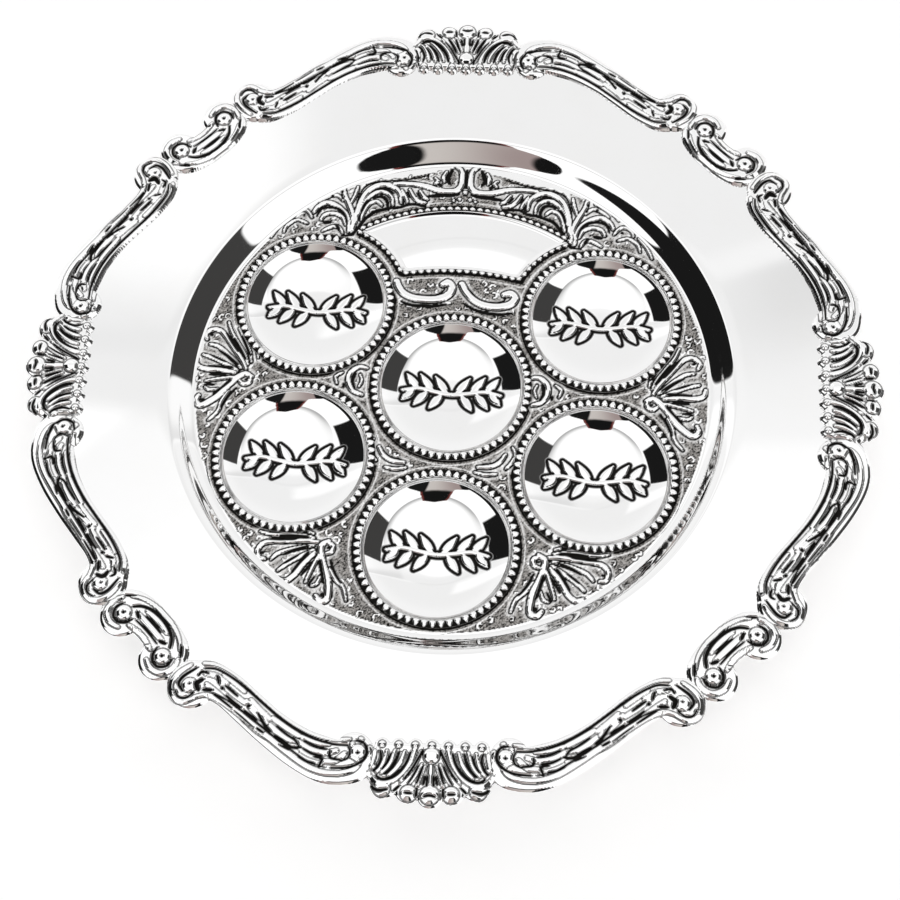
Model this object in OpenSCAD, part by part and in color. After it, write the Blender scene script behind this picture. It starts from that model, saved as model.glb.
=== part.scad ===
// Round ritual tray: a polished flange with an applied border of shells and scrolls,
// a sunk well whose chased floor carries six round food cups and one crescent pan.
// Millimetres, +Z up. The origin is the middle of the foot ring's resting face.

/* [Food cups] */
// Mouth radius of each food cup
cup_mouth_r = 34.5; // [30:0.5:42]
// Depth of a cup below its own rim
cup_depth = 9; // [6:0.5:12]
// Thickness of the cup sheet
cup_sheet = 0.8; // [0.6:0.1:1.2]
// Width of the rim that carries the gadrooned collar
cup_rim_w = 3.5; // [3:0.25:6]
// Free floor between the middle cup and the two upper cups
cup_gap = 3.4; // [2.4:0.2:8]
// How much farther out the four lower cups sit
lower_cup_spread = 1.5; // [0:0.25:3]
// Clearance between a cup and its hole
cup_fit = 0.3; // [0.2:0.05:0.5]

/* [Collars] */
// Height of the gadrooned collar
collar_h = 1.2; // [0.8:0.1:2]
// Height of the collar's plain seat ring
collar_seat_h = 0.5; // [0.3:0.1:0.7]
// Number of gadroons round one collar
collar_teeth = 56; // [40:1:72]
// Clearance at the collar's inner and outer edges
collar_fit = 0.1; // [0.05:0.05:0.3]

/* [Centre plate] */
// Thickness of the chased centre plate
plate_t = 1.2; // [0.8:0.1:2]
// Floor left outside the lower cups
floor_margin = 5.5; // [4.5:0.25:12]
// Turn of the chased centre against the border, in degrees
disc_turn = -2.05; // [-5:0.05:5]
// Clearance between the plate's edge and the wall of the well
plate_fit = 0.15; // [0.1:0.05:0.3]
// Height of the raised scrollwork
relief_h = 0.5; // [0.3:0.1:1]
// Clear ground round the cups and the crescent pan
relief_margin = 1; // [0.5:0.25:2]

/* [Crescent pan] */
// Floor between the middle cup and the pan
pan_base_gap = 22; // [18:0.5:26]
// Floor between the upper cups and the pan
pan_side_gap = 7.5; // [6:0.25:10]
// Floor between the wall of the well and the pan
pan_top_gap = 28.5; // [24:0.5:34]
// Depth of the pan
pan_depth = 2.2; // [1.2:0.2:3.2]
// Sheet of the pan
pan_sheet = 0.8; // [0.6:0.1:1.2]
// Corner radius of the pan
pan_corner_r = 3; // [2:0.5:5]
// Width of the beaded wire round the pan
beading_w = 2; // [1.6:0.1:3]
// Height of the beaded wire
beading_h = 0.9; // [0.6:0.1:1.4]

/* [Tray] */
// Thickness of the tray sheet
tray_sheet = 1.2; // [0.8:0.1:2]
// Rise of the flange above the floor
wall_rise = 8.6; // [6:0.2:14]
// Run of the curved wall of the well
wall_run = 8.8; // [7:0.2:14]
// Width of the plain flange, from the well to the shells
flange_w = 39.8; // [30:0.2:60]
// Width of the lip that carries the centre plate
lip_w = 6; // [4.5:0.25:6.5]
// How far the border overhangs the edge of the sheet
border_overhang = 1; // [0.6:0.1:2]

/* [Foot ring] */
// Free height under the cups
stand_clear = 4.8; // [4.5:0.1:10]
// Width of the foot ring where it meets the lip
foot_w = 3.6; // [2.4:0.2:4.2]
// Outward flare of the foot
foot_flare = 2; // [1:0.25:4]
// Height of the foot's straight resting edge
foot_edge_h = 1.4; // [1:0.1:2]

/* [Border] */
// Radial depth of a shell
shell_depth = 27; // [22:0.5:34]
// Half width of a shell
shell_half_w = 28; // [24:0.5:32]
// Width of the scroll bands
band_w = 14.4; // [12:0.2:17]
// Thickness of the mounts' ground
mount_ground_h = 1.8; // [1.2:0.1:3]
// Rise of the edge moulding above the ground
moulding_h = 1.5; // [0.8:0.1:2.5]
// Width of the edge moulding
moulding_w = 2.8; // [2:0.1:3.6]
// Rise of the narrow bead on the moulding
bead_h = 0.6; // [0.3:0.1:1]
// Rise of the leaves in the channel
leaf_h = 1; // [0.5:0.1:1.6]
// Length of one leaf
leaf_len = 9; // [7:0.5:12]
// Seam between neighbouring mounts
mount_seam = 0.3; // [0.2:0.05:0.6]

/* [Hidden] */
$fn = 96;

// One overrun serves all cuts, and grows with the sheet
overrun = tray_sheet;

// Cups: the middle one, then the five round it
cup_r = cup_mouth_r + cup_rim_w;
cup_body_r = cup_mouth_r + cup_sheet;
cup_hole_r = cup_body_r + cup_fit;
upper_ring_r = 2 * cup_r + cup_gap;
lower_ring_r = upper_ring_r + lower_cup_spread;
egg_angle = 150;
shank_bone_angle = 30;
karpas_angle = 210;
charoset_angle = 330;
chazeret_angle = 270;
egg_place = [upper_ring_r, egg_angle];
shank_bone_place = [upper_ring_r, shank_bone_angle];
karpas_place = [lower_ring_r, karpas_angle];
charoset_place = [lower_ring_r, charoset_angle];
chazeret_place = [lower_ring_r, chazeret_angle];
maror_place = [0, 0];
PLACES = [maror_place, egg_place, shank_bone_place, karpas_place, charoset_place, chazeret_place];

// Radii and heights of the tray
floor_r = lower_ring_r + cup_r + floor_margin;
well_r = floor_r + wall_run;
border_r = well_r + flange_w + shell_depth;
floor_z = stand_clear + cup_depth;
lip_z = floor_z - plate_t - tray_sheet;
flange_z = floor_z + wall_rise;

// Crescent pan
pan_top_r = floor_r - pan_top_gap;
pan_side_r = cup_r + pan_side_gap;
pan_base_y = cup_r + pan_base_gap;
bead_r = beading_w / 2;

// Angles of the pan's corners: from the middle of the tray off +Y, and from the middle of the upper cup
shank_bone_x = upper_ring_r * cos(shank_bone_angle);
shank_bone_y = upper_ring_r * sin(shank_bone_angle);
pan_apart_turn = acos((pan_top_r ^ 2 + upper_ring_r ^ 2 - pan_side_r ^ 2) / (2 * pan_top_r * upper_ring_r));
pan_top_turn = 90 - shank_bone_angle - pan_apart_turn;
pan_side_low = asin((pan_base_y - shank_bone_y) / pan_side_r);
pan_corner = pan_top_r * [sin(pan_top_turn), cos(pan_top_turn)];
pan_side_high = atan2(pan_corner.y - shank_bone_y, shank_bone_x - pan_corner.x);

// Steps of the curves
band_steps = 4;
fine_steps = 3;
wall_steps = 14;
cup_steps = 14;
outline_fn = 28;
small_fn = 14;
long_arc_fn = 240;

// Long scroll of the border: how far from the shell's side to the knob, y as a share of the border radius,
// width as a share of the band's width
long_scroll_shares = [
    [0.008, 0.896, 0.4], [0.046, 0.9115, 0.9], [0.103, 0.914, 1.16], [0.218, 0.909, 1.28],
    [0.372, 0.885, 1.14], [0.538, 0.8435, 1.02], [0.667, 0.8035, 1], [0.795, 0.7635, 1.01],
    [0.923, 0.7405, 1.06], [1, 0.744, 0.9]
];
// Its two volutes, with their radii as shares of the band's width
long_volute_shares = [[0.067, 0.886, 0.52], [0.997, 0.754, 0.71]];
// Where the knob lies across the border, as a share of the border radius
knob_share = 0.53;

// Short scroll, lying across the diagonal: along, outwards, width
short_scroll_shares = [
    [-0.092, 0.914, 0.5], [-0.075, 0.897, 0.95], [-0.045, 0.889, 1.06], [0, 0.8865, 1.07],
    [0.045, 0.889, 1.06], [0.075, 0.897, 0.95], [0.092, 0.914, 0.5]
];
short_volute_shares = [[-0.068, 0.923, 0.64], [0.068, 0.923, 0.64]];

// The sheet under the border fills everything inwards of the mounts: its outline at these scales
sheet_fill_shares = [1, 0.99, 0.98, 0.97, 0.955, 0.94];

// Lobes of a shell: across, outwards and radius, as shares of the half width and of the depth
shell_lobe_shares = [[0, 0.81, 0.19], [0.34, 0.75, 0.18], [0.69, 0.65, 0.21], [0.87, 0.42, 0.15]];
// Where each lobe's rib starts
shell_root_shares = [[0, 0.14], [0.16, 0.12], [0.36, 0.1], [0.62, 0.08]];
rib_root_share = 0.06;
shell_body_shares = [
    [-0.84, 0.02], [-0.97, 0.36], [-0.86, 0.72], [-0.3, 0.75],
    [0.3, 0.75], [0.86, 0.72], [0.97, 0.36], [0.84, 0.02]
];
// Small beads along the inner edge of a shell
shell_beads = 7;
shell_bead_share = 0.085;
shell_bead_row_share = 0.03;
shell_bead_span_share = 0.76;

// Half the angle that a shell and a short scroll take up
shell_half_angle = asin((shell_half_w - mount_seam / 2) / border_r);
short_half_angle = 6.9;
band_cover_share = 0.9;
eye_share = 0.17;

// Scrolls chased on the floor: x, y as shares of the floor radius, then the line's width as a share
crest_shares = [
    [0.115, 0.9, 0.012], [0.09, 0.885, 0.02], [0.065, 0.905, 0.026], [0.075, 0.945, 0.03],
    [0.04, 0.945, 0.032], [0.022, 0.9, 0.034], [0.05, 0.862, 0.036], [0.13, 0.852, 0.034],
    [0.22, 0.86, 0.03], [0.31, 0.845, 0.028], [0.38, 0.79, 0.026], [0.42, 0.71, 0.022]
];
corner_curl_shares = [
    [0.2, 0.815, 0.012], [0.215, 0.79, 0.02], [0.25, 0.8, 0.026], [0.25, 0.835, 0.026],
    [0.3, 0.83, 0.03], [0.36, 0.77, 0.03], [0.4, 0.7, 0.024]
];
ribbon_shares = [
    [0.06, 0.43, 0.02], [0.045, 0.455, 0.026], [0.02, 0.445, 0.03], [0.035, 0.395, 0.04], [0.09, 0.362, 0.05],
    [0.16, 0.36, 0.05], [0.215, 0.385, 0.04], [0.225, 0.42, 0.032], [0.2, 0.425, 0.02]
];
spray_shares = [
    [0.425, 0.66, 0.03], [0.45, 0.74, 0.028], [0.5, 0.8, 0.024], [0.56, 0.81, 0.02], [0.575, 0.775, 0.012]
];
spray_leaf_shares = [
    [0.44, 0.65, 0.022], [0.5, 0.71, 0.03], [0.57, 0.73, 0.03], [0.63, 0.71, 0.014]
];
spray_side_shares = [
    [0.46, 0.64, 0.02], [0.53, 0.66, 0.028], [0.6, 0.655, 0.03], [0.68, 0.63, 0.014]
];

// Palmette in each outer gap: along the gap's radius and across it, as shares of the floor radius
palmette_rib_shares = [[0.97, 0, 0.034], [0.96, 0.065, 0.03], [0.93, 0.125, 0.028], [0.9, 0.19, 0.026]];
palmette_root_share = 0.75;
palmette_root_w_share = 0.012;
palmette_waist_share = 0.4;
palmette_curl_shares = [
    [0.77, 0.02, 0.016], [0.8, 0.09, 0.026], [0.86, 0.17, 0.028], [0.85, 0.24, 0.024], [0.81, 0.235, 0.018],
    [0.82, 0.2, 0.012]
];
palmette_angles = [0, 180, 240, 300];

// Small scroll in each inner gap round the middle cup
inner_curl_shares = [
    [0.33, -0.02, 0.012], [0.345, 0.01, 0.02], [0.375, 0.012, 0.022], [0.385, -0.03, 0.022],
    [0.36, -0.075, 0.016]
];
inner_curl_angles = [0, 60, 120, 180, 240, 300];

// A cup's bowl is an ellipse whose middle is flattened by this power of its width
bowl_power_share = 0.667;

// Sprig in each cup, in the place of a label: shares of the mouth's radius
sprig_leaves = 5;
sprig_span_share = 0.68;
sprig_leaf_share = 0.22;
sprig_leaf_w_share = 0.11;
sprig_stem_w_share = 0.05;
sprig_lean = 38;
sprig_drop_share = 0.1;
// Angle of the bowl's curve beyond which no sprig lies
sprig_reach = 65;

function curve_point(p0, p1, p2, p3, t) =
    (2 * p1 + (p2 - p0) * t + (2 * p0 - 5 * p1 + 4 * p2 - p3) * t * t
    + (3 * p1 - p0 - 3 * p2 + p3) * t * t * t) / 2;

// Smooth curve through the given points
function curve(pts, steps) = [
    for (i = [0 : len(pts) - 2])
        for (k = [0 : steps - 1])
            curve_point(pts[max(i - 1, 0)], pts[i], pts[i + 1], pts[min(i + 2, len(pts) - 1)], k / steps),
    pts[len(pts) - 1]
];

function heading(c, i) =
    let (a = c[max(i - 1, 0)], b = c[min(i + 1, len(c) - 1)], d = [b.x - a.x, b.y - a.y]) d / norm(d);

function edge(c, side) = [
    for (i = [0 : len(c) - 1])
        let (h = heading(c, i)) [c[i].x - side * h.y * c[i].z / 2, c[i].y + side * h.x * c[i].z / 2]
];

function reversed(v) = [for (i = [len(v) - 1 : -1 : 0]) v[i]];

// Places and widths of a table of shares, in millimetres
function sized(shares, reach, width) = [for (s = shares) [s.x * reach, s.y * reach, s.z * width]];

// Places of the long scroll, from the shell's side to the knob
knob_x = knob_share * border_r;
function beside_shell(shares, width) = [
    for (s = shares) [shell_half_w + s.x * (knob_x - shell_half_w), s.y * border_r, s.z * width]
];

function long_band(width) = curve(beside_shell(long_scroll_shares, width), band_steps);

function short_band(width) = curve(sized(short_scroll_shares, border_r, width), band_steps);

function long_volutes() = beside_shell(long_volute_shares, band_w);

function short_volutes() = sized(short_volute_shares, border_r, band_w);

// A band of changing width along a curve
module band(c) {
    polygon(concat(edge(c, 1), reversed(edge(c, -1))));
}

module scroll_line(shares) {
    band(curve(sized(shares, floor_r, floor_r), fine_steps));
}

module mirrored() {
    children();
    mirror([1, 0]) children();
}

// Rounds the outer corners of a flat shape without changing its size
module rounded(r) {
    offset(r = r, $fn = outline_fn) offset(delta = -r) children();
}

// The part of the border between two angles, counted from the middle of the piece
module sector(low, high) {
    reach = 2 * border_r;
    polygon([[0, 0], reach * [sin(low), cos(low)], reach * [sin(high), cos(high)]]);
}

module at_place(place) {
    rotate([0, 0, place[1]]) translate([place[0], 0, 0]) rotate([0, 0, -place[1]]) children();
}

// The chased centre is turned a little against the border
module on_disc() {
    rotate([0, 0, disc_turn]) children();
}

// Border outlines, each with its middle on +Y

module shell_outline(inset) {
    root_y = border_r - shell_depth;
    polygon([for (s = shell_body_shares) [s.x * (shell_half_w - inset), root_y + s.y * shell_depth]]);
    mirrored() {
        for (s = shell_lobe_shares) {
            translate([s.x * shell_half_w, root_y + s.y * shell_depth])
                circle(r = s.z * shell_depth - inset, $fn = outline_fn);
        }
    }
    for (p = shell_bead_places()) {
        translate(p) circle(r = shell_bead_share * shell_depth - inset / 2, $fn = outline_fn);
    }
}

// Middles of the small beads along a shell's inner edge
function shell_bead_places() = [
    for (i = [0 : shell_beads - 1])
        [(2 * i / (shell_beads - 1) - 1) * shell_bead_span_share * shell_half_w,
            border_r - shell_depth * (1 - shell_bead_row_share)]
];

module volute_discs(volutes, inset) {
    for (v = volutes) {
        translate([v.x, v.y]) circle(r = v.z - inset, $fn = outline_fn);
    }
}

module long_scroll_outline(inset) {
    band(long_band(band_w - 2 * inset));
    volute_discs(long_volutes(), inset);
}

module short_scroll_outline(inset) {
    band(short_band(band_w - 2 * inset));
    volute_discs(short_volutes(), inset);
}

// Sectors that keep neighbouring mounts apart
seam_angle = asin(mount_seam / (2 * border_r * band_cover_share));
long_low = shell_half_angle + seam_angle;
long_high = 45 - short_half_angle - seam_angle;
short_high = short_half_angle - seam_angle;

module sheet_outline() {
    circle(r = band_cover_share * border_r);
    for (a = [0 : 90 : 270]) {
        for (fill = sheet_fill_shares) {
            rotate([0, 0, a]) scale(fill) {
                shell_outline(border_overhang);
                mirrored() long_scroll_outline(border_overhang);
                rotate([0, 0, 45]) short_scroll_outline(border_overhang);
            }
        }
    }
}

// Wall of the well: a smooth S from the lip up to the flange
function wall_point(t, shift) =
    let (
        rise = flange_z - lip_z - tray_sheet,
        p = [floor_r + wall_run * t, lip_z + tray_sheet + rise * (1 - cos(180 * t)) / 2],
        slope = [wall_run, rise * PI / 2 * sin(180 * t)],
        n = [slope.y, -slope.x] / norm(slope)
    ) p + n * shift;

module tray_profile() {
    lip_r = floor_r - lip_w;
    far_r = border_r + overrun;
    top = [for (i = [0 : wall_steps]) wall_point(i / wall_steps, 0)];
    under = [for (i = [wall_steps : -1 : 0]) wall_point(i / wall_steps, tray_sheet)];
    polygon(concat(
        [[lip_r, lip_z + tray_sheet]], top, [[far_r, flange_z], [far_r, flange_z - tray_sheet]],
        under, [[lip_r, lip_z]]
    ));
}

module tray_body() {
    color("silver") intersection() {
        rotate_extrude() tray_profile();
        linear_extrude(height = flange_z + overrun)
            offset(delta = -cup_fit / 2) offset(delta = cup_fit / 2) sheet_outline();
    }
}

// Foot: straight resting edge, then a hollow curve up to the lip
module foot_ring() {
    inner_r = floor_r - foot_w;
    cove_h = lip_z - foot_edge_h;
    cove = [for (i = [0 : cup_steps])
        let (a = 90 * i / cup_steps)
        [floor_r + foot_flare * (1 - sin(a)), foot_edge_h + cove_h * (1 - cos(a))]];
    color("gainsboro") rotate_extrude()
        polygon(concat([[inner_r, 0], [floor_r + foot_flare, 0]], cove, [[inner_r, lip_z]]));
}

// Flat outline of the crescent pan, grown or shrunk by the given amount
module pan_outline(grow) {
    offset(delta = grow) rounded(pan_corner_r) difference() {
        circle(r = pan_top_r, $fn = long_arc_fn);
        translate([-floor_r, pan_base_y - 2 * floor_r]) square(2 * floor_r);
        for (place = [egg_place, shank_bone_place]) {
            at_place(place) circle(r = pan_side_r, $fn = long_arc_fn);
        }
    }
}

module palmette() {
    root = [palmette_root_share, 0];
    for (s = palmette_rib_shares) {
        waist = [
            root.x + (s.x - root.x) * palmette_waist_share,
            s.y * palmette_waist_share * palmette_waist_share
        ];
        scroll_line([
            [root.x, 0, palmette_root_w_share],
            [waist.x, waist.y, s.z / 2],
            [(waist.x + s.x) / 2, (waist.y + s.y) / 2, s.z],
            [s.x, s.y, s.z]
        ]);
        translate([s.x, s.y] * floor_r) circle(r = s.z * floor_r / 2, $fn = small_fn);
    }
    scroll_line(palmette_curl_shares);
}

module floor_ornament() {
    mirrored() {
        scroll_line(crest_shares);
        scroll_line(corner_curl_shares);
        scroll_line(ribbon_shares);
        scroll_line(spray_shares);
        scroll_line(spray_leaf_shares);
        scroll_line(spray_side_shares);
    }
    for (a = palmette_angles) {
        rotate([0, 0, a]) {
            palmette();
            mirror([0, 1]) palmette();
        }
    }
    for (a = inner_curl_angles) {
        rotate([0, 0, a]) scroll_line(inner_curl_shares);
    }
}

module centre_plate() {
    plate_r = floor_r - plate_fit;
    color("darkgray") on_disc() {
        translate([0, 0, floor_z - plate_t]) linear_extrude(height = plate_t) difference() {
            circle(r = plate_r);
            for (place = PLACES) {
                at_place(place) circle(r = cup_hole_r);
            }
            pan_outline(cup_fit);
        }
        translate([0, 0, floor_z]) linear_extrude(height = relief_h) difference() {
            intersection() {
                circle(r = plate_r - relief_margin);
                offset(delta = relief_margin / 4) floor_ornament();
            }
            for (place = PLACES) {
                at_place(place) circle(r = cup_r + relief_margin);
            }
            pan_outline(cup_fit + beading_w + relief_margin);
        }
    }
}

module crescent_pan() {
    color("whitesmoke") on_disc() translate([0, 0, floor_z - pan_depth]) difference() {
        translate([0, 0, -pan_sheet]) linear_extrude(height = pan_depth + pan_sheet) pan_outline(0);
        linear_extrude(height = pan_depth + overrun) pan_outline(-pan_sheet);
    }
}

// A row of beads round an arc, from one angle to the other, off +X
module beads_on_arc(r, low, high) {
    count = floor(PI * r * (high - low) / 180 / beading_w);
    for (i = [0 : count]) {
        rotate([0, 0, low + (high - low) * i / count]) translate([r, 0, 0]) bead();
    }
}

module bead() {
    cylinder(r = bead_r * band_cover_share, h = beading_h / 2);
}

// Beads on a thin wire that hides the seam of the pan
module crescent_beading() {
    away = cup_fit + bead_r;
    corner_turn = asin(pan_corner_r / pan_top_r);
    side_turn = asin(pan_corner_r / pan_side_r);
    base_half = shank_bone_x - pan_side_r * cos(pan_side_low) - pan_corner_r;
    base_count = floor(2 * base_half / beading_w);
    top_half = pan_top_turn - corner_turn;
    side_from = 180 - pan_side_high + side_turn;
    side_to = 180 - pan_side_low - side_turn;
    color("lightgray") on_disc() translate([0, 0, floor_z]) {
        linear_extrude(height = beading_h / 2) difference() {
            pan_outline(cup_fit + beading_w);
            pan_outline(cup_fit / 2);
        }
        translate([0, 0, beading_h / 2]) {
            beads_on_arc(pan_top_r + away, 90 - top_half, 90 + top_half);
            for (i = [0 : base_count]) {
                translate([base_half * (2 * i / base_count - 1), pan_base_y - away, 0]) bead();
            }
            for (side = [0, 1]) {
                mirror([side, 0, 0]) translate([shank_bone_x, shank_bone_y, 0])
                    beads_on_arc(pan_side_r - away, side_from, side_to);
            }
        }
    }
}

// A point of a bowl, at an angle from its lowest point to its mouth
function bowl_point(mouth, depth, a) = [mouth * pow(sin(a), bowl_power_share), -depth * cos(a)];

// A bowl's curve from the middle out, moved up or down
function bowl_curve(mouth, depth, last, lift) = [
    for (i = [0 : cup_steps]) bowl_point(mouth, depth, last * i / cup_steps) + [0, lift]
];

function reversed(list) = [for (i = [len(list) - 1 : -1 : 0]) list[i]];

// A cup pressed from sheet, its rim lying on the floor round the hole
module cup(place) {
    seat = acos(cup_sheet / (cup_depth + cup_sheet));
    inner = bowl_curve(cup_mouth_r, cup_depth, 90, cup_sheet);
    outer = bowl_curve(cup_body_r, cup_depth + cup_sheet, seat, cup_sheet);
    rim = [[cup_r, cup_sheet], [cup_r, 0]];
    color("gainsboro") on_disc() at_place(place) translate([0, 0, floor_z]) {
        rotate_extrude() polygon(concat(inner, rim, reversed(outer)));
        intersection() {
            rotate_extrude() polygon(concat(
                bowl_curve(cup_mouth_r, cup_depth, sprig_reach, cup_sheet / 2),
                reversed(bowl_curve(cup_mouth_r, cup_depth, sprig_reach, cup_sheet * 3 / 2))
            ));
            translate([0, -sprig_drop_share * cup_mouth_r, -cup_depth])
                linear_extrude(height = cup_depth) offset(delta = cup_sheet / 4) sprig();
        }
    }
}

// A leafy twig, mirrored about its middle, where the label of the dish would be
module sprig() {
    half = sprig_span_share * cup_mouth_r;
    leaf = sprig_leaf_share * cup_mouth_r;
    leaf_w = sprig_leaf_w_share * cup_mouth_r;
    stem_w = sprig_stem_w_share * cup_mouth_r;
    translate([-half, -stem_w / 2]) square([2 * half, stem_w]);
    mirrored() {
        for (i = [0 : sprig_leaves - 1]) {
            translate([half * (i + 1 / 2) / sprig_leaves, 0]) {
                rotate([0, 0, sprig_lean]) leaf_shape(leaf, leaf_w);
                rotate([0, 0, -sprig_lean]) leaf_shape(leaf, leaf_w);
            }
        }
    }
    circle(r = leaf_w, $fn = outline_fn);
}

// A pointed leaf along +X, made of two arcs
module leaf_shape(length, width) {
    half = length / 2;
    arc_r = (half * half + width * width / 4) / width;
    intersection() {
        translate([half, arc_r - width / 2]) circle(r = arc_r, $fn = outline_fn);
        translate([half, width / 2 - arc_r]) circle(r = arc_r, $fn = outline_fn);
    }
}

// A wire of gadroons that hides the seam between the cup and the floor
module collar(place) {
    outer_r = cup_r - collar_fit;
    inner_r = cup_mouth_r + collar_fit;
    crown_r = outer_r - collar_fit;
    notch = (crown_r - inner_r) / 2;
    points_per_tooth = 4;
    count = collar_teeth * points_per_tooth;
    crown = [for (i = [0 : count - 1])
        let (a = 360 * i / count, r = crown_r - notch * abs(cos(collar_teeth * a / 2))) r * [cos(a), sin(a)]];
    color("silver") on_disc() at_place(place) translate([0, 0, floor_z + cup_sheet]) {
        linear_extrude(height = collar_seat_h) difference() {
            circle(r = outer_r);
            circle(r = inner_r);
        }
        translate([0, 0, collar_seat_h]) linear_extrude(height = collar_h - collar_seat_h) difference() {
            polygon(crown);
            circle(r = inner_r);
        }
    }
}

// A mount lies on the flange, turned to its place
module mount(turn) {
    color("silver") rotate([0, 0, turn]) translate([0, 0, flange_z]) children();
}

module border_shell(turn) {
    root_y = border_r - shell_depth;
    half_angle = shell_half_angle - seam_angle;
    mount(turn) {
        intersection() {
            linear_extrude(height = shell_depth) sector(-half_angle, half_angle);
            union() {
                linear_extrude(height = mount_ground_h)
                    offset(delta = -cup_fit / 4) offset(delta = cup_fit / 4) shell_outline(0);
                for (side = [-1, 1]) {
                    for (i = [0 : len(shell_lobe_shares) - 1]) {
                        if (side > 0 || i > 0) {
                            shell_rib(side, shell_root_shares[i], shell_lobe_shares[i], root_y);
                        }
                    }
                }
            }
        }
        for (p = shell_bead_places()) {
            translate([p.x, p.y, mount_ground_h])
                cylinder(r = shell_bead_share * shell_depth * band_cover_share, h = moulding_h);
        }
    }
}

// One rib of a shell, swelling from its root to the lobe at the rim
module shell_rib(side, root, lobe, root_y) {
    root_share = shell_bead_row_share + shell_bead_share + root.y;
    from = [side * root.x * shell_half_w, root_y + root_share * shell_depth];
    to = [side * lobe.x * shell_half_w, root_y + lobe.y * shell_depth];
    run = to - from;
    root_w = rib_root_share * shell_depth;
    lobe_w = lobe.z * shell_depth * band_cover_share;
    head_w = lobe_w * band_cover_share;
    translate([from.x, from.y, mount_ground_h]) linear_extrude(height = moulding_h)
        rotate([0, 0, atan2(run.y, run.x)]) polygon([
            [0, -root_w / 2], [norm(run), -head_w], [norm(run), head_w], [0, root_w / 2]
        ]);
    translate([to.x, to.y, mount_ground_h]) cylinder(r = lobe_w, h = moulding_h);
}

// Leaves laid along the channel, in pairs that lean out to both sides
module channel_leaves(c) {
    step = leaf_len / 2;
    length = sum_of([for (i = [1 : len(c) - 1]) norm([c[i].x - c[i - 1].x, c[i].y - c[i - 1].y])]);
    count = floor(length / step);
    for (k = [1 : count - 1]) {
        i = round(k * (len(c) - 1) / count);
        h = heading(c, i);
        translate([c[i].x, c[i].y]) rotate([0, 0, atan2(h.y, h.x)]) {
            for (side = [-1, 1]) {
                rotate([0, 0, side * sprig_lean / 2]) leaf_shape(leaf_len, leaf_len / 3);
            }
        }
    }
}

function sum_of(v, i = 0) = i < len(v) ? v[i] + sum_of(v, i + 1) : 0;

// Ground, moulding, bead and leaves of a scroll mount
module scroll_relief(c, volutes, low, high) {
    linear_extrude(height = mount_ground_h) intersection() {
        whole_scroll(c, volutes, 0);
        sector(low, high);
    }
    translate([0, 0, mount_ground_h]) {
        linear_extrude(height = moulding_h) intersection() {
            sector(low, high);
            difference() {
                whole_scroll(c, volutes, 0);
                whole_scroll(c, volutes, moulding_w);
            }
        }
        linear_extrude(height = leaf_h) intersection() {
            sector(low, high);
            offset(delta = -moulding_w) whole_scroll(c, volutes, 0);
            union() {
                channel_leaves(c);
                for (v = volutes) {
                    translate([v.x, v.y]) circle(r = eye_share * band_w, $fn = outline_fn);
                }
            }
        }
    }
    translate([0, 0, mount_ground_h + moulding_h]) linear_extrude(height = bead_h) intersection() {
        sector(low, high);
        difference() {
            whole_scroll(c, volutes, moulding_w / 4);
            whole_scroll(c, volutes, 3 * moulding_w / 4);
        }
    }
}

// Outline of a scroll with its volutes, drawn in by the given amount
module whole_scroll(c, volutes, inset) {
    offset(delta = -inset - cup_fit / 4) offset(delta = cup_fit / 4) {
        band(c);
        volute_discs(volutes, 0);
    }
}

module border_long_scroll(turn, flip) {
    mount(turn) mirror([flip, 0, 0])
        scroll_relief(long_band(band_w), long_volutes(), long_low, long_high);
}

module border_short_scroll(turn) {
    mount(turn)
        scroll_relief(short_band(band_w), short_volutes(), -short_high, short_high);
}

tray_body();
foot_ring();
centre_plate();
crescent_pan();
crescent_beading();
cup(maror_place);  // maror_cup
cup(egg_place);  // egg_cup
cup(shank_bone_place);  // shank_bone_cup
cup(karpas_place);  // karpas_cup
cup(charoset_place);  // charoset_cup
cup(chazeret_place);  // chazeret_cup
collar(maror_place);  // maror_collar
collar(egg_place);  // egg_collar
collar(shank_bone_place);  // shank_bone_collar
collar(karpas_place);  // karpas_collar
collar(charoset_place);  // charoset_collar
collar(chazeret_place);  // chazeret_collar
border_shell(0);  // border_shell_1
border_shell(90);  // border_shell_2
border_shell(180);  // border_shell_3
border_shell(270);  // border_shell_4
border_short_scroll(45);  // border_short_scroll_1
border_short_scroll(135);  // border_short_scroll_2
border_short_scroll(225);  // border_short_scroll_3
border_short_scroll(315);  // border_short_scroll_4
border_long_scroll(0, 0);  // border_long_scroll_1
border_long_scroll(0, 1);  // border_long_scroll_2
border_long_scroll(90, 0);  // border_long_scroll_3
border_long_scroll(90, 1);  // border_long_scroll_4
border_long_scroll(180, 0);  // border_long_scroll_5
border_long_scroll(180, 1);  // border_long_scroll_6
border_long_scroll(270, 0);  // border_long_scroll_7
border_long_scroll(270, 1);  // border_long_scroll_8
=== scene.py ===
"""Looks of a round ritual tray: polished flange, border of shells and scrolls, chased floor with food cups.

Every size is in millimetres and is turned into metres when a mesh is made. The origin is the middle of the
foot ring's resting face, +Z is up, and the crescent pan lies towards +Y.
"""

import logging
import math
from collections.abc import Callable, Sequence
from dataclasses import dataclass, field
from enum import Enum
from typing import Any

import bpy
import numpy as np
from mathutils import Matrix, Vector


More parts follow.
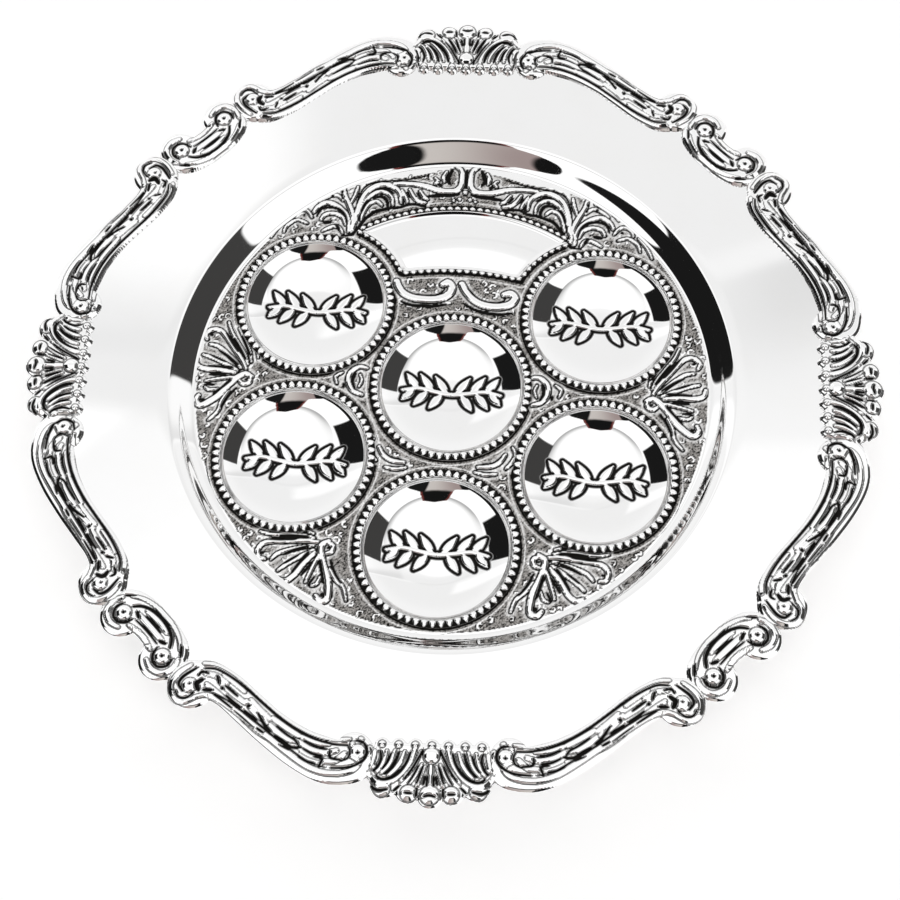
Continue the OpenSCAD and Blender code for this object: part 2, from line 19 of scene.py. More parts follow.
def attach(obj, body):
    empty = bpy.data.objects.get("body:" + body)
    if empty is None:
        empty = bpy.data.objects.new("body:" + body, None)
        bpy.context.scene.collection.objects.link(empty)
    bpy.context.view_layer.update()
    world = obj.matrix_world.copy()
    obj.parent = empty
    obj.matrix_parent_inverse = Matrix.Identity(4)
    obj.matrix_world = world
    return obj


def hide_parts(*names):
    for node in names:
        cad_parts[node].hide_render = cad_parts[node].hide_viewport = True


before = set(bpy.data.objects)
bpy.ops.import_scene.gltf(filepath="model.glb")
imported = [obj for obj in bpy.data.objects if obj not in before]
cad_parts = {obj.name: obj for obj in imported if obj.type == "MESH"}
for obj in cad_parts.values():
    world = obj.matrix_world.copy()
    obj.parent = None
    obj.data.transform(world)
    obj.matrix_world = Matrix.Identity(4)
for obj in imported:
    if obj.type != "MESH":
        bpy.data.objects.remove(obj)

LOG = logging.getLogger("ritual_tray")
MM = 0.001
TINY = 1e-12
FAR_OFF = 1e9
Points = np.ndarray
Rows = Sequence[Sequence[float]]


class Slot(Enum):
    """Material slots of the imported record."""

    TRAY = "polished_silver"
    FOOT = "foot_silver"
    CHASED = "chased_silver"
    CUP = "cup_silver"
    COLLAR = "collar_silver"
    BORDER = "border_silver"


class Side(Enum):
    """Half of the border that a long scroll lies on, seen from its shell."""

    RIGHT = 1
    LEFT = 2


class Mark(Enum):
    """Numbers that each vertex carries for the finishes."""

    # The first mark darkens the silver. It is tarnish in the hollows, painted shade under and between the
    # pan's beads and the gadroons, and painted shadow in one of the crest's cuts.
    TARNISH = "tarnish"
    MATTING = "matting"


class Pick(Enum):
    """What edit mode selects."""

    POINTS = "VERT"
    EDGES = "EDGE"
    FACES = "FACE"


# Shader maths


@dataclass(frozen=True)
class Value:
    """A number socket on which Python's operators add Math nodes."""

    graph: "Graph"
    socket: bpy.types.NodeSocket

    def math(self, operation: str, *inputs: "Value | float", clamp: bool = False) -> "Value":
        """Returns the result of a Math node on the given inputs."""
        node = self.graph.add("ShaderNodeMath", {"operation": operation, "use_clamp": clamp},
                              dict(enumerate(inputs)))
        return Value(self.graph, node.outputs[0])

    def __add__(self, other: "Value | float") -> "Value":
        """Returns self + other."""
        return self.math("ADD", self, other)

    def __sub__(self, other: "Value | float") -> "Value":
        """Returns self - other."""
        return self.math("SUBTRACT", self, other)

    def __rsub__(self, other: float) -> "Value":
        """Returns other - self."""
        return self.math("SUBTRACT", other, self)

    def __mul__(self, other: "Value | float") -> "Value":
        """Returns self * other."""
        return self.math("MULTIPLY", self, other)

    __radd__ = __add__
    __rmul__ = __mul__

    def absolute(self) -> "Value":
        """Returns the value without its sign."""
        return self.math("ABSOLUTE", self)

    def clamped(self) -> "Value":
        """Returns the value held between 0 and 1."""
        return self.math("ADD", self, 0.0, clamp=True)

    def step(self, low: float, high: float) -> "Value":
        """Returns 0 below low and 1 above high, or the reverse, with a smooth change between."""
        rising = low < high
        node = self.graph.add("ShaderNodeMapRange", {"interpolation_type": "SMOOTHSTEP"}, {
            "Value": self, "From Min": min(low, high), "From Max": max(low, high),
            "To Min": 0.0 if rising else 1.0, "To Max": 1.0 if rising else 0.0})
        return Value(self.graph, node.outputs["Result"])


class Graph:
    """A node tree that is filled by expressions."""

    def __init__(self, tree: bpy.types.NodeTree) -> None:
        """Empties the tree.

        Args:
            tree: The node tree of a material or of the world.
        """
        self.tree = tree
        tree.nodes.clear()

    def add(self, kind: str, settings: dict[str, Any] | None = None,
            inputs: dict[str | int, Any] | None = None) -> bpy.types.Node:
        """Adds one node.

        Args:
            kind: The node's type name.
            settings: Its properties, which are set first.
            inputs: Values, colours or links by socket name or number.

        Returns:
            The new node.
        """
        node = self.tree.nodes.new(kind)
        for name, value in (settings or {}).items():
            setattr(node, name, value)
        for key, value in (inputs or {}).items():
            if isinstance(value, Value):
                self.tree.links.new(value.socket, node.inputs[key])
            elif isinstance(value, bpy.types.NodeSocket):
                self.tree.links.new(value, node.inputs[key])
            else:
                node.inputs[key].default_value = value
        return node

    def value(self, socket: bpy.types.NodeSocket) -> Value:
        """Returns the socket wrapped for expressions."""
        return Value(self, socket)

    def mark(self, mark: Mark) -> Value:
        """Returns a number that the vertices carry."""
        node = self.add("ShaderNodeAttribute", {"attribute_name": mark.value})
        return self.value(node.outputs["Fac"])

    def axes(self, socket: bpy.types.NodeSocket) -> tuple[Value, Value, Value]:
        """Returns the three numbers of a vector socket."""
        parts = self.add("ShaderNodeSeparateXYZ", None, {0: socket})
        return tuple(self.value(s) for s in parts.outputs)

    def blend(self, factor: Value | float, low: Any, high: Any) -> bpy.types.NodeSocket:
        """Returns a colour between two colours."""
        node = self.add("ShaderNodeMix", {"data_type": "RGBA"}, {0: factor, 6: low, 7: high})
        return node.outputs[2]

    def grey(self, level: Value) -> bpy.types.NodeSocket:
        """Returns the level as a colour, which may be brighter than white."""
        node = self.add("ShaderNodeCombineXYZ", None, {0: level, 1: level, 2: level})
        return node.outputs[0]

    def noise(self, vector: bpy.types.NodeSocket, scale: float, detail: float = 2.0,
              roughness: float = 0.5) -> Value:
        """Returns noise between 0 and 1, with scale in waves for each metre."""
        node = self.add("ShaderNodeTexNoise", None, {
            "Vector": vector, "Scale": scale, "Detail": detail, "Roughness": roughness})
        return self.value(node.outputs["Fac"])


def grey(level: float, warmth: float = 0.0) -> tuple[float, float, float, float]:
    """Returns a grey of that linear level, a little warmer or cooler."""
    return (level * (1 + warmth), level, level * (1 - warmth), 1.0)


@dataclass(frozen=True)
class Silver:
    """Silver plate, from mirror polish to darkened, matted ground.

    Attributes:
        name: Name of the material.
        bright: Linear level of the clean plate.
        polish: Roughness of the clean plate.
        wear: How much wiping varies that roughness.
        ripple: Height of the faint unevenness, in millimetres.
        ripple_scale: Its waves for each metre.
        oxide: Linear level of the darkened hollows, and of the painted shade and shadow that the darkening
            mark carries.
        matting: Depth of the punched ground in millimetres, where the piece has one.
    """

    name: str
    bright: float = 0.93
    polish: float = 0.035
    wear: float = 0.03
    ripple: float = 0.004
    ripple_scale: float = 60.0
    oxide: float = 0.006
    matting: float = 0.0

    def material(self) -> bpy.types.Material:
        """Returns the material, made on first use."""
        found = bpy.data.materials.get(self.name)
        return found or self._build(bpy.data.materials.new(self.name))

    def _build(self, material: bpy.types.Material) -> bpy.types.Material:
        """Fills the node tree.

        Args:
            material: A new material.

        Returns:
            The same material.
        """
        material.use_nodes = True
        graph = Graph(material.node_tree)
        place = graph.add("ShaderNodeTexCoord").outputs["Object"]
        tarnish, ground = graph.mark(Mark.TARNISH), graph.mark(Mark.MATTING)
        smudge = graph.noise(place, 38.0, 4.0, 0.6)
        scratch = graph.noise(place, 900.0, 2.0)
        speck = graph.noise(place, 1500.0, 3.0, 0.7)
        # Darkening: tarnish in the hollows, painted shade and shadow where the mark carries them, and the
        # specks of the matted ground.
        dark = (tarnish * 1.35 - 0.1 + ground * (speck.step(0.42, 0.66) * 0.55)).clamped()
        wiped = grey(self.bright * 0.975, 0.006)
        clean = graph.blend(smudge.step(0.35, 0.75) * 0.5, grey(self.bright), wiped)
        stained = graph.blend(ground * 0.75, clean, grey(0.36, 0.08))
        base = graph.blend(dark, stained, grey(self.oxide, 0.14))
        rough = ((smudge - 0.5) * self.wear + (scratch - 0.5) * (self.wear * 0.6) + self.polish
                 + dark * 0.4 + ground * 0.3)
        wave = graph.noise(place, self.ripple_scale, 1.0) * (self.ripple * MM)
        height = wave + scratch * (0.0004 * MM) + ground * speck * (self.matting * MM)
        bump = graph.add("ShaderNodeBump", None, {"Strength": 1.0, "Distance": 1.0, "Height": height})
        shader = graph.add("ShaderNodeBsdfPrincipled", None, {
            "Base Color": base, "Metallic": 1 - dark * 0.7, "Roughness": rough.clamped(),
            "Specular IOR Level": 0.12, "Normal": bump.outputs[0]})
        graph.add("ShaderNodeOutputMaterial", None, {"Surface": shader.outputs[0]})
        return material


TRAY_FINISH = Silver("mirror_silver_of_the_tray")
FOOT_FINISH = Silver("polished_silver_of_the_foot", bright=0.88, polish=0.08, wear=0.05)
CUP_FINISH = Silver("mirror_silver_of_the_cups", polish=0.03, wear=0.02, ripple=0.003)
PAN_FINISH = Silver("mirror_silver_of_the_pan", polish=0.04, ripple=0.003)
COLLAR_FINISH = Silver("bright_silver_of_the_gadroons", bright=0.95, polish=0.1)
CHASED_FINISH = Silver("chased_and_darkened_silver", bright=0.96, polish=0.07, wear=0.02, matting=0.16)
BORDER_FINISH = Silver("cast_silver_of_the_border", bright=0.97, polish=0.08, wear=0.04)


# Drawing


def curve(points: Rows | Points, steps: int = 8) -> Points:
    """Returns a smooth curve through the points.

    Args:
        points: Rows of numbers, all carried along the curve.
        steps: Steps from one point to the next.
    """
    p = np.asarray(points, float)
    e = np.vstack([p[:1], p, p[-1:]])
    t = (np.arange(steps) / steps)[:, None]
    parts = []
    for a, b, c, d in zip(e[:-3], e[1:-2], e[2:-1], e[3:]):
        parts.append((2 * b + (c - a) * t + (2 * a - 5 * b + 4 * c - d) * t ** 2
                      + (3 * b - a - 3 * c + d) * t ** 3) / 2)
    return np.vstack(parts + [p[-1:]])


def turned(xy: Points, degrees: float) -> Points:
    """Returns the points turned about the origin, with any further columns kept."""
    out = np.array(xy, float)
    c, s = math.cos(math.radians(degrees)), math.sin(math.radians(degrees))
    out[:, 0], out[:, 1] = xy[:, 0] * c - xy[:, 1] * s, xy[:, 0] * s + xy[:, 1] * c
    return out


def flipped(xy: Points, axis: float = 0.0) -> Points:
    """Returns the points mirrored in the line x = axis."""
    out = np.array(xy, float)
    out[:, 0] = 2 * axis - out[:, 0]
    return out


def drawn(row: Sequence[float], taper: float = 0.5, steps: int = 6) -> Points:
    """Returns a curved line with its half width, drawn thinner towards its ends.

    Args:
        row: The half width, then x and y of each point, in millimetres.
        taper: Share of the width that the ends keep.
        steps: Steps from one point to the next.
    """
    points = np.array(row[1:], float).reshape(-1, 2)
    line = curve(points if len(points) > 1 else np.vstack([points, points + 0.05]), steps)
    swell = np.sin(np.pi * np.linspace(0.02, 0.98, len(line))) ** 0.5
    return np.column_stack([line, row[0] * (taper + (1 - taper) * swell)])


def run_lengths(line: Points) -> Points:
    """Returns how far along a line each of its points is."""
    return np.concatenate([[0], np.cumsum(np.linalg.norm(np.diff(line, axis=0), axis=1))])


def spots_along(line: Points, lengths: Points, at: Points) -> Points:
    """Returns the places at some lengths along a line.

    Args:
        line: Points of the line.
        lengths: How far along the line each of them is.
        at: Lengths of the places that are wanted.
    """
    return np.column_stack([np.interp(at, lengths, line[:, k]) for k in (0, 1)])


def to_segment(xy: Points, start: Points, end: Points) -> tuple[Points, Points]:
    """Measures points against a straight segment.

    Args:
        xy: Points to measure.
        start, end: Ends of the segment.

    Returns:
        The square of each point's distance, and the share of the way along the segment of the nearest place.
    """
    run, rel = end - start, xy - start
    share = np.clip(rel @ run / max(run @ run, TINY), 0, 1)
    return ((rel - run * share[:, None]) ** 2).sum(1), share


def from_disc(xy: Points, centre: Points, radius: float) -> Points:
    """Returns the distance to a disc, negative on it."""
    return np.linalg.norm(xy - centre, axis=1) - radius


def smooth(value: Points, low: float, high: float) -> Points:
    """Returns 0 at low and 1 at high, with a smooth change between."""
    t = np.clip((value - low) / (high - low), 0, 1)
    return t * t * (3 - 2 * t)


def flat_topped(z: Points, middle: float, rise: float) -> Points:
    """Returns the heights of a swollen ball: its crown is flatter and its foot is steeper."""
    share = np.clip((z - middle) / rise, -1, 1)
    return middle + np.sign(share) * np.sqrt(np.abs(share)) * rise


def polygon_distance(xy: Points, corners: Points) -> Points:
    """Returns the distance to a closed outline, negative inside it.

    Args:
        xy: Points to measure.
        corners: Corners of the outline in order.
    """
    best = np.full(len(xy), FAR_OFF)
    inside = np.zeros(len(xy), bool)
    for a, b in zip(corners, np.roll(corners, -1, axis=0)):
        best = np.minimum(best, to_segment(xy, a, b)[0])
        level = (a[1] > xy[:, 1]) != (b[1] > xy[:, 1])
        rise = b[1] - a[1] if abs(b[1] - a[1]) > TINY else TINY
        inside ^= level & (xy[:, 0] < a[0] + (xy[:, 1] - a[1]) * (b[0] - a[0]) / rise)
    return np.where(inside, -1, 1) * np.sqrt(best)


class Relief:
    """Heights, darkening and matting over a set of points, raised stroke by stroke, in millimetres. The
    darkening is oxide in the hollows, and painted shadow where a cut stands for a shadow.
    """

    def __init__(self, xy: Points, ground: float = 0.0) -> None:
        """Starts with a level ground.

        Args:
            xy: Points of the surface.
            ground: Height of the ground.
        """
        self.xy = xy
        self.height = np.full(len(xy), float(ground))
        self.tarnish = np.zeros(len(xy))
        self.matting = np.zeros(len(xy))

    def measure(self, line: Points, margin: float) -> tuple[Points, Points, Points]:
        """Measures the points near a line.

        Args:
            line: Rows of x, y and half width.
            margin: How far beyond the line's edge to look.

        Returns:
            Numbers of the near points, the distance of each to the line, and the half width there.
        """
        reach = line[:, 2].max() + margin
        low, high = line[:, :2].min(0) - reach, line[:, :2].max(0) + reach
        near = np.flatnonzero(((self.xy > low) & (self.xy < high)).all(1))
        xy = self.xy[near]
        best, away, width = (np.full(len(near), v) for v in (FAR_OFF, FAR_OFF, 1.0))
        for start, end in zip(line, line[1:]):
            squares, share = to_segment(xy, start[:2], end[:2])
            d, w = np.sqrt(squares), start[2] + (end[2] - start[2]) * share
            closer = d - w < best
            best[closer], away[closer], width[closer] = (d - w)[closer], d[closer], w[closer]
        return near, away, np.maximum(width, 1e-3)

    def stroke(self, line: Points, rise: float, shade: float = 0.9, halo: float = 0.7,
               base: float | None = None) -> None:
        """Raises a rounded stroke with a darkened edge.

        Args:
            line: Rows of x, y and half width.
            rise: Height of the stroke's crown above its base.
            shade: Tarnish just outside the edge.
            halo: How far that tarnish reaches.
            base: Height that the stroke stands on, or None for the ground under it.
        """
        near, away, width = self.measure(line, halo)
        q = away / width
        inside = q < 1
        foot = self.height[near] if base is None else np.full(len(near), base)
        crown = foot + rise * np.sqrt(np.clip(1 - q ** 4, 0, 1)) * np.minimum(1, width / 0.6)
        over = inside & (crown >= self.height[near] - 0.02)
        self.height[near[over]] = crown[over]
        self.tarnish[near[over]] = shade * 0.7 * smooth(q[over], 0.8, 1.04)
        self.matting[near[over]] = 0
        outside = ~inside
        ring = shade * (1 - smooth(away[outside] - width[outside], 0.45 * halo, halo))
        lower = near[outside]
        taken = self.height[lower] < foot[outside] + rise * 0.8
        self.tarnish[lower] = np.where(taken, np.maximum(self.tarnish[lower], ring), self.tarnish[lower])

    def groove(self, line: Points, depth: float, shade: float = 1.0) -> None:
        """Cuts a groove with a blackened bottom and crisp edges.

        Args:
            line: Rows of x, y and half width.
            depth: Depth below the surface around it.
            shade: Tarnish at its bottom.
        """
        near, away, width = self.measure(line, 0.45)
        self.height[near] -= depth * np.clip(1 - (away / (width + 0.35)) ** 2, 0, 1)
        ink = shade * (1 - smooth(away - width, -0.3, 0.32))
        self.tarnish[near] = np.maximum(self.tarnish[near], ink)

    def dome(self, centre: Sequence[float], radius: float, rise: float, shade: float, halo: float,
             base: float | None = None) -> None:
        """Raises a round boss with a darkened edge, as a stroke of hardly any length."""
        line = np.array([[centre[0], centre[1], radius], [centre[0] + 1e-4, centre[1], radius]])
        self.stroke(line, rise, shade, halo, base)


# Work at the bench


class Bench:
    """Mesh work with Blender's own operators.

    Attributes:
        block: Size in millimetres of the faces on a flat underside.
    """

    block: float = 8.0

    @staticmethod
    def take(piece: bpy.types.Object) -> bpy.types.Object:
        """Selects one object alone and makes it active."""
        Bench.deselect()
        piece.select_set(True)
        bpy.context.view_layer.objects.active = piece
        return piece

    @staticmethod
    def deselect() -> None:
        """Deselects all objects, because an operator acts on all that is selected."""
        bpy.ops.object.select_all(action="DESELECT")

    @staticmethod
    def edit(kind: Pick = Pick.POINTS) -> None:
        """Enters edit mode with that kind of selection."""
        bpy.ops.object.mode_set(mode="EDIT")
        bpy.ops.mesh.select_mode(type=kind.value)

    @classmethod
    def edit_all(cls) -> None:
        """Enters edit mode with everything selected."""
        cls.edit()
        bpy.ops.mesh.select_all(action="SELECT")

    @classmethod
    def edit_marked(cls, piece: bpy.types.Object, kind: Pick, marked: Points) -> None:
        """Enters edit mode with the marked points, edges or faces of a piece selected."""
        mesh = piece.data
        cls.take(piece)
        cls.edit(kind)
        bpy.ops.mesh.select_all(action="DESELECT")
        cls.leave()
        parts = {Pick.POINTS: mesh.vertices, Pick.EDGES: mesh.edges, Pick.FACES: mesh.polygons}[kind]
        parts.foreach_set("select", marked)
        cls.edit(kind)

    @staticmethod
    def leave() -> None:
        """Goes back to object mode."""
        bpy.ops.object.mode_set(mode="OBJECT")

    @staticmethod
    def named(name: str) -> bpy.types.Object:
        """Names the active object and its mesh."""
        piece = bpy.context.object
        piece.name = piece.data.name = name
        return piece

    @staticmethod
    def places(piece: bpy.types.Object) -> Points:
        """Returns the vertices of a piece in millimetres."""
        co = np.zeros(len(piece.data.vertices) * 3, np.float32)
        piece.data.vertices.foreach_get("co", co)
        return co.reshape(-1, 3).astype(float) / MM

    @staticmethod
    def place(piece: bpy.types.Object, xyz: Points) -> None:
        """Sets the vertices of a piece, given in millimetres."""
        piece.data.vertices.foreach_set("co", (xyz * MM).astype(np.float32).ravel())
        piece.data.update()

    @staticmethod
    def coat(piece: bpy.types.Object, mark: Mark, values: Points) -> None:
        """Gives each vertex the number that the finishes read under that mark."""
        layer = piece.data.attributes.new(mark.value, "FLOAT", "POINT")
        layer.data.foreach_set("value", np.clip(values, 0, 1).astype(np.float32))

    @classmethod
    def lathe(cls, name: str, profile: Rows, steps: int, closed: bool = True) -> bpy.types.Object:
        """Turns a profile about the Z axis.

        Args:
            name: Name of the piece.
            profile: Radius and height of each point, in millimetres.
            steps: Steps of the full turn.
            closed: Whether the profile is joined back to its start.

        Returns:
            The turned piece, with its faces outwards.
        """
        cls.deselect()
        bpy.ops.mesh.primitive_plane_add(size=MM)
        piece = cls.named(name)
        cls.edit_all()
        bpy.ops.mesh.merge(type="CENTER")
        r, z = profile[0]
        bpy.ops.transform.translate(value=(r * MM, 0, z * MM))
        for (r0, z0), (r1, z1) in zip(profile, profile[1:]):
            bpy.ops.mesh.extrude_region_move(
                TRANSFORM_OT_translate={"value": ((r1 - r0) * MM, 0, (z1 - z0) * MM)})
        cls.leave()
        if closed:
            ends = np.zeros(len(piece.data.vertices), bool)
            ends[[0, -1]] = True
            cls.edit_marked(piece, Pick.POINTS, ends)
            bpy.ops.mesh.edge_face_add()
            cls.leave()
        cls.edit_all()
        bpy.ops.mesh.spin(steps=steps, angle=math.tau, center=(0, 0, 0), axis=(0, 0, 1))
        cls.leave()
        cls.weld(0.002)
        return piece

    @classmethod
    def ball(cls, name: str, radius: float) -> bpy.types.Object:
        """Adds a ball of few faces, of which the beads and gadroons are made."""
        cls.deselect()
        bpy.ops.mesh.primitive_uv_sphere_add(segments=14, ring_count=8, radius=radius * MM)
        return cls.named(name)

    @classmethod
    def cut_off_below(cls, level: float) -> None:
        """Cuts the active piece off at a level in millimetres, and closes it there."""
        cls.edit_all()
        bpy.ops.mesh.bisect(plane_co=(0, 0, level * MM), plane_no=(0, 0, 1), clear_inner=True, use_fill=True)
        cls.leave()

    @classmethod
    def weld(cls, gap: float, face_out: bool = True) -> None:
        """Merges the doubled vertices of the active piece.

        Args:
            gap: Distance in millimetres up to which vertices are merged.
            face_out: Whether the faces of the piece are turned outwards too.
        """
        cls.edit_all()
        bpy.ops.mesh.remove_doubles(threshold=gap * MM)
        if face_out:
            bpy.ops.mesh.normals_make_consistent(inside=False)
        cls.leave()

    @classmethod
    def sheet(cls, name: str, across: int, along: int,
              map_to: Callable[[Points], Points]) -> bpy.types.Object:
        """Adds a grid and lays it where a function says.

        Args:
            name: Name of the piece.
            across: Cells in the first direction.
            along: Cells in the second direction.
            map_to: Turns rows of u and v, each from 0 to 1, into rows of x, y, z in millimetres.

        Returns:
            The grid.
        """
        cls.deselect()
        bpy.ops.mesh.primitive_grid_add(x_subdivisions=across, y_subdivisions=along, size=1.0)
        piece = cls.named(name)
        uv = cls.places(piece)[:, :2] * MM + 0.5
        cls.place(piece, map_to(uv))
        return piece

    @classmethod
    def trim(cls, piece: bpy.types.Object, distance: Callable[[Points], Points], cell: float) -> None:
        """Cuts a flat grid to an outline, with its edge vertices laid on the outline.

        Args:
            piece: A grid in the XY plane.
            distance: Distance of points to the outline, negative inside.
            cell: Size of one cell in millimetres.
        """
        xyz = cls.places(piece)
        d = distance(xyz[:, :2])
        corners = np.zeros(len(piece.data.loops), np.int32)
        piece.data.loops.foreach_get("vertex_index", corners)
        outside = d[corners.reshape(-1, 4)].mean(1) > 0
        cls.edit_marked(piece, Pick.FACES, outside)
        bpy.ops.mesh.delete(type="FACE")
        cls.leave()
        xyz = cls.places(piece)
        for _ in range(2):
            d = distance(xyz[:, :2])
            edge = np.flatnonzero(d > -0.35 * cell)
            p, e = xyz[edge, :2], 0.02
            slope = np.column_stack([
                distance(p + [e, 0]) - distance(p - [e, 0]),
                distance(p + [0, e]) - distance(p - [0, e])]) / (2 * e)
            size = np.maximum(np.linalg.norm(slope, axis=1), 0.3)[:, None]
            xyz[edge, :2] -= slope / size * np.clip(d[edge], -cell, cell)[:, None]
        cls.place(piece, xyz)

    @classmethod
    def merge_blocks(cls, piece: bpy.types.Object, block: float) -> None:
        """Merges the faces of a flat piece that lie in the same square block, and keeps its open edges.

        Args:
            piece: A flat piece in the XY plane.
            block: Size of a block in millimetres.
        """
        mesh = piece.data
        middles = np.zeros(len(mesh.polygons) * 3, np.float32)
        mesh.polygons.foreach_get("center", middles)
        sizes, edges = np.zeros(len(mesh.polygons), np.int32), np.zeros(len(mesh.loops), np.int32)
        mesh.polygons.foreach_get("loop_total", sizes)
        mesh.loops.foreach_get("edge_index", edges)
        cells = np.floor(middles.reshape(-1, 3)[:, :2] / (block * MM)).astype(int)
        rows_apart = 10000
        owner = np.repeat(cells[:, 0] * rows_apart + cells[:, 1], sizes)
        order = np.argsort(edges, kind="stable")
        edges, owner = edges[order], owner[order]
        same = (edges[1:] == edges[:-1]) & (owner[1:] == owner[:-1])
        marked = np.zeros(len(mesh.edges), bool)
        marked[edges[1:][same]] = True
        cls.edit_marked(piece, Pick.EDGES, marked)
        bpy.ops.mesh.dissolve_edges(use_verts=False, use_face_split=False)
        cls.leave()

    @classmethod
    def close_below(cls, piece: bpy.types.Object, level: float) -> None:
        """Draws the open edges of a relief down to a level and closes its underside with a flat copy.

        Args:
            piece: A relief with open edges that lies over a level area.
            level: Height of the flat underside, in millimetres.
        """
        cls.take(piece)
        bpy.ops.object.duplicate(linked=False)
        under = cls.named("underside")
        xyz = cls.places(under)
        xyz[:, 2] = level
        cls.place(under, xyz)
        cls.merge_blocks(under, cls.block)
        cls.edit_all()
        bpy.ops.mesh.flip_normals()
        cls.leave()
        cls.take(piece)
        cls.edit()
        bpy.ops.mesh.select_all(action="DESELECT")
        bpy.ops.mesh.select_non_manifold(extend=False, use_wire=False, use_boundary=True,
                                         use_multi_face=False, use_non_contiguous=False, use_verts=False)
        bpy.ops.mesh.extrude_region_move(TRANSFORM_OT_translate={"value": (0, 0, 0)})
        bpy.ops.transform.resize(value=(1, 1, 0), center_override=(0, 0, level * MM))
        cls.leave()
        cls.join(piece.name, [piece, under])
        cls.weld(0.001)

    @classmethod
    def copy(cls, piece: bpy.types.Object, name: str, change: Callable[[Points], Points],
             mirrored: bool = False) -> bpy.types.Object:
        """Copies a piece with a mesh of its own.

        Args:
            piece: The piece to copy.
            name: Name of the copy.
            change: Turns the vertices of the piece into those of the copy.
            mirrored: Whether the change turns the piece inside out.

        Returns:
            The copy.
        """
        cls.take(piece)
        bpy.ops.object.duplicate(linked=False)
        other = cls.named(name)
        cls.place(other, change(cls.places(other)))
        if mirrored:
            cls.edit_all()
            bpy.ops.mesh.flip_normals()
            cls.leave()
        return other

    @classmethod
    def join(cls, name: str, parts: Sequence[bpy.types.Object]) -> bpy.types.Object:
        """Joins parts into one piece."""
        cls.take(parts[0])
        for part in parts[1:]:
            part.select_set(True)
        if len(parts) > 1:
            bpy.ops.object.join()
        return cls.named(name)

    @classmethod
    def finish(cls, piece: bpy.types.Object, silver: Silver, slot: Slot, node: str,
               crease: float) -> bpy.types.Object:
        """Smooths and dresses a finished piece, hangs it under the root body and hides the construction node
        that it stands for.

        Args:
            piece: The piece.
            silver: Its finish.
            slot: The record's material slot; not used.
            node: Construction node that it stands for.
            crease: Angle in degrees above which an edge stays sharp.

        Returns:
            The piece.
        """
        cls.take(piece)
        bpy.ops.object.shade_smooth_by_angle(angle=math.radians(crease))
        piece.data.materials.clear()
        piece.data.materials.append(silver.material())
        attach(piece, "root")
        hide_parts(node)
        LOG.info("%s: %d faces, for %s", piece.name, len(piece.data.polygons), node)
        return piece


# Sizes that the pieces share


@dataclass(frozen=True)
class Layout:
    """Places and heights of the construction model, in millimetres.

    Attributes:
        cup_power: Share that flattens a cup's round bottom.
        disc_turn: Turn in degrees of the chased floor, with all that it carries, against the border.
        fillet_r: Radius of the foot of the well's wall, which laps over the chased floor.
        pan_bow: How far the crescent pan's straight side bows.
        arc_points, bow_points: Points of each arc and of the bowed side in the pan's outline.
    """

    cup_mouth: float = 34.5
    cup_rim: float = 38.0
    cup_depth: float = 9.0
    cup_power: float = 0.667
    sheet: float = 0.8
    upper_ring: float = 79.4
    lower_ring: float = 80.9
    disc_turn: float = -2.05
    floor_r: float = 124.4
    well_r: float = 133.2
    fillet_r: float = 121.5
    border_r: float = 200.0
    lip_z: float = 11.4
    floor_z: float = 13.8
    flange_z: float = 22.4
    tray_sheet: float = 1.2
    pan_top_r: float = 95.9
    pan_side_r: float = 45.5
    pan_base_y: float = 60.0
    pan_bow: float = 3.2
    arc_points: int = 39
    bow_points: int = 23

    def wall_level(self, r: Points) -> Points:
        """Returns the height of the well's S-curved wall at the given radii, level on both sides of it."""
        share = np.clip((np.asarray(r, float) - self.fillet_r) / (self.well_r - self.fillet_r), 0, 1)
        return self.floor_z + (self.flange_z - self.floor_z) * (1 - np.cos(np.pi * share)) / 2

    @property
    def cups(self) -> dict[str, tuple[float, float]]:
        """Returns the distance and the angle of each cup, by its name."""
        return {
            "maror": (0.0, 0.0), "egg": (self.upper_ring, 150.0), "shank_bone": (self.upper_ring, 30.0),
            "karpas": (self.lower_ring, 210.0), "charoset": (self.lower_ring, 330.0),
            "chazeret": (self.lower_ring, 270.0)}

    def centres(self, with_turn: bool = True) -> dict[str, Points]:
        """Returns the middle of each cup by its name, with or without the turn of the floor."""
        middles = {}
        for name, (r, degrees) in self.cups.items():
            angle = math.radians(degrees)
            place = np.array([[r * math.cos(angle), r * math.sin(angle)]])
            middles[name] = turned(place, self.disc_turn if with_turn else 0.0)[0]
        return middles

    def pan_outline(self, grow: float = 0.0) -> Points:
        """Returns the corners of the crescent pan's outline before the floor's turn.

        Args:
            grow: How far outside the pan's own edge the outline lies.
        """
        top, side, base = self.pan_top_r + grow, self.pan_side_r - grow, self.pan_base_y - grow
        cx, cy = self.centres(False)["shank_bone"]
        low = math.asin((base - cy) / side)
        apart = math.acos((top ** 2 + self.upper_ring ** 2 - side ** 2) / (2 * top * self.upper_ring))
        high = math.radians(90.0 - self.cups["shank_bone"][1]) - apart
        corner = np.array([top * math.sin(high), top * math.cos(high)])
        turn = math.atan2(corner[1] - cy, cx - corner[0])
        arc = np.linspace(high, 0, self.arc_points + 1)[:-1]
        flank = np.linspace(low, turn, self.arc_points + 1)[:-1]
        right = np.vstack([
            np.column_stack([cx - side * np.cos(flank), cy + side * np.sin(flank)]),
            np.column_stack([top * np.sin(arc), top * np.cos(arc)])])
        left = flipped(right)[::-1]
        bow = np.linspace(0, 1, self.bow_points + 2)[1:-1]
        foot = left[-1] + (right[0] - left[-1]) * bow[:, None]
        foot[:, 1] += self.pan_bow * 4 * bow * (1 - bow)
        return np.vstack([right, [[0, top]], left, foot])


LAYOUT = Layout()


# Tray, foot and cups


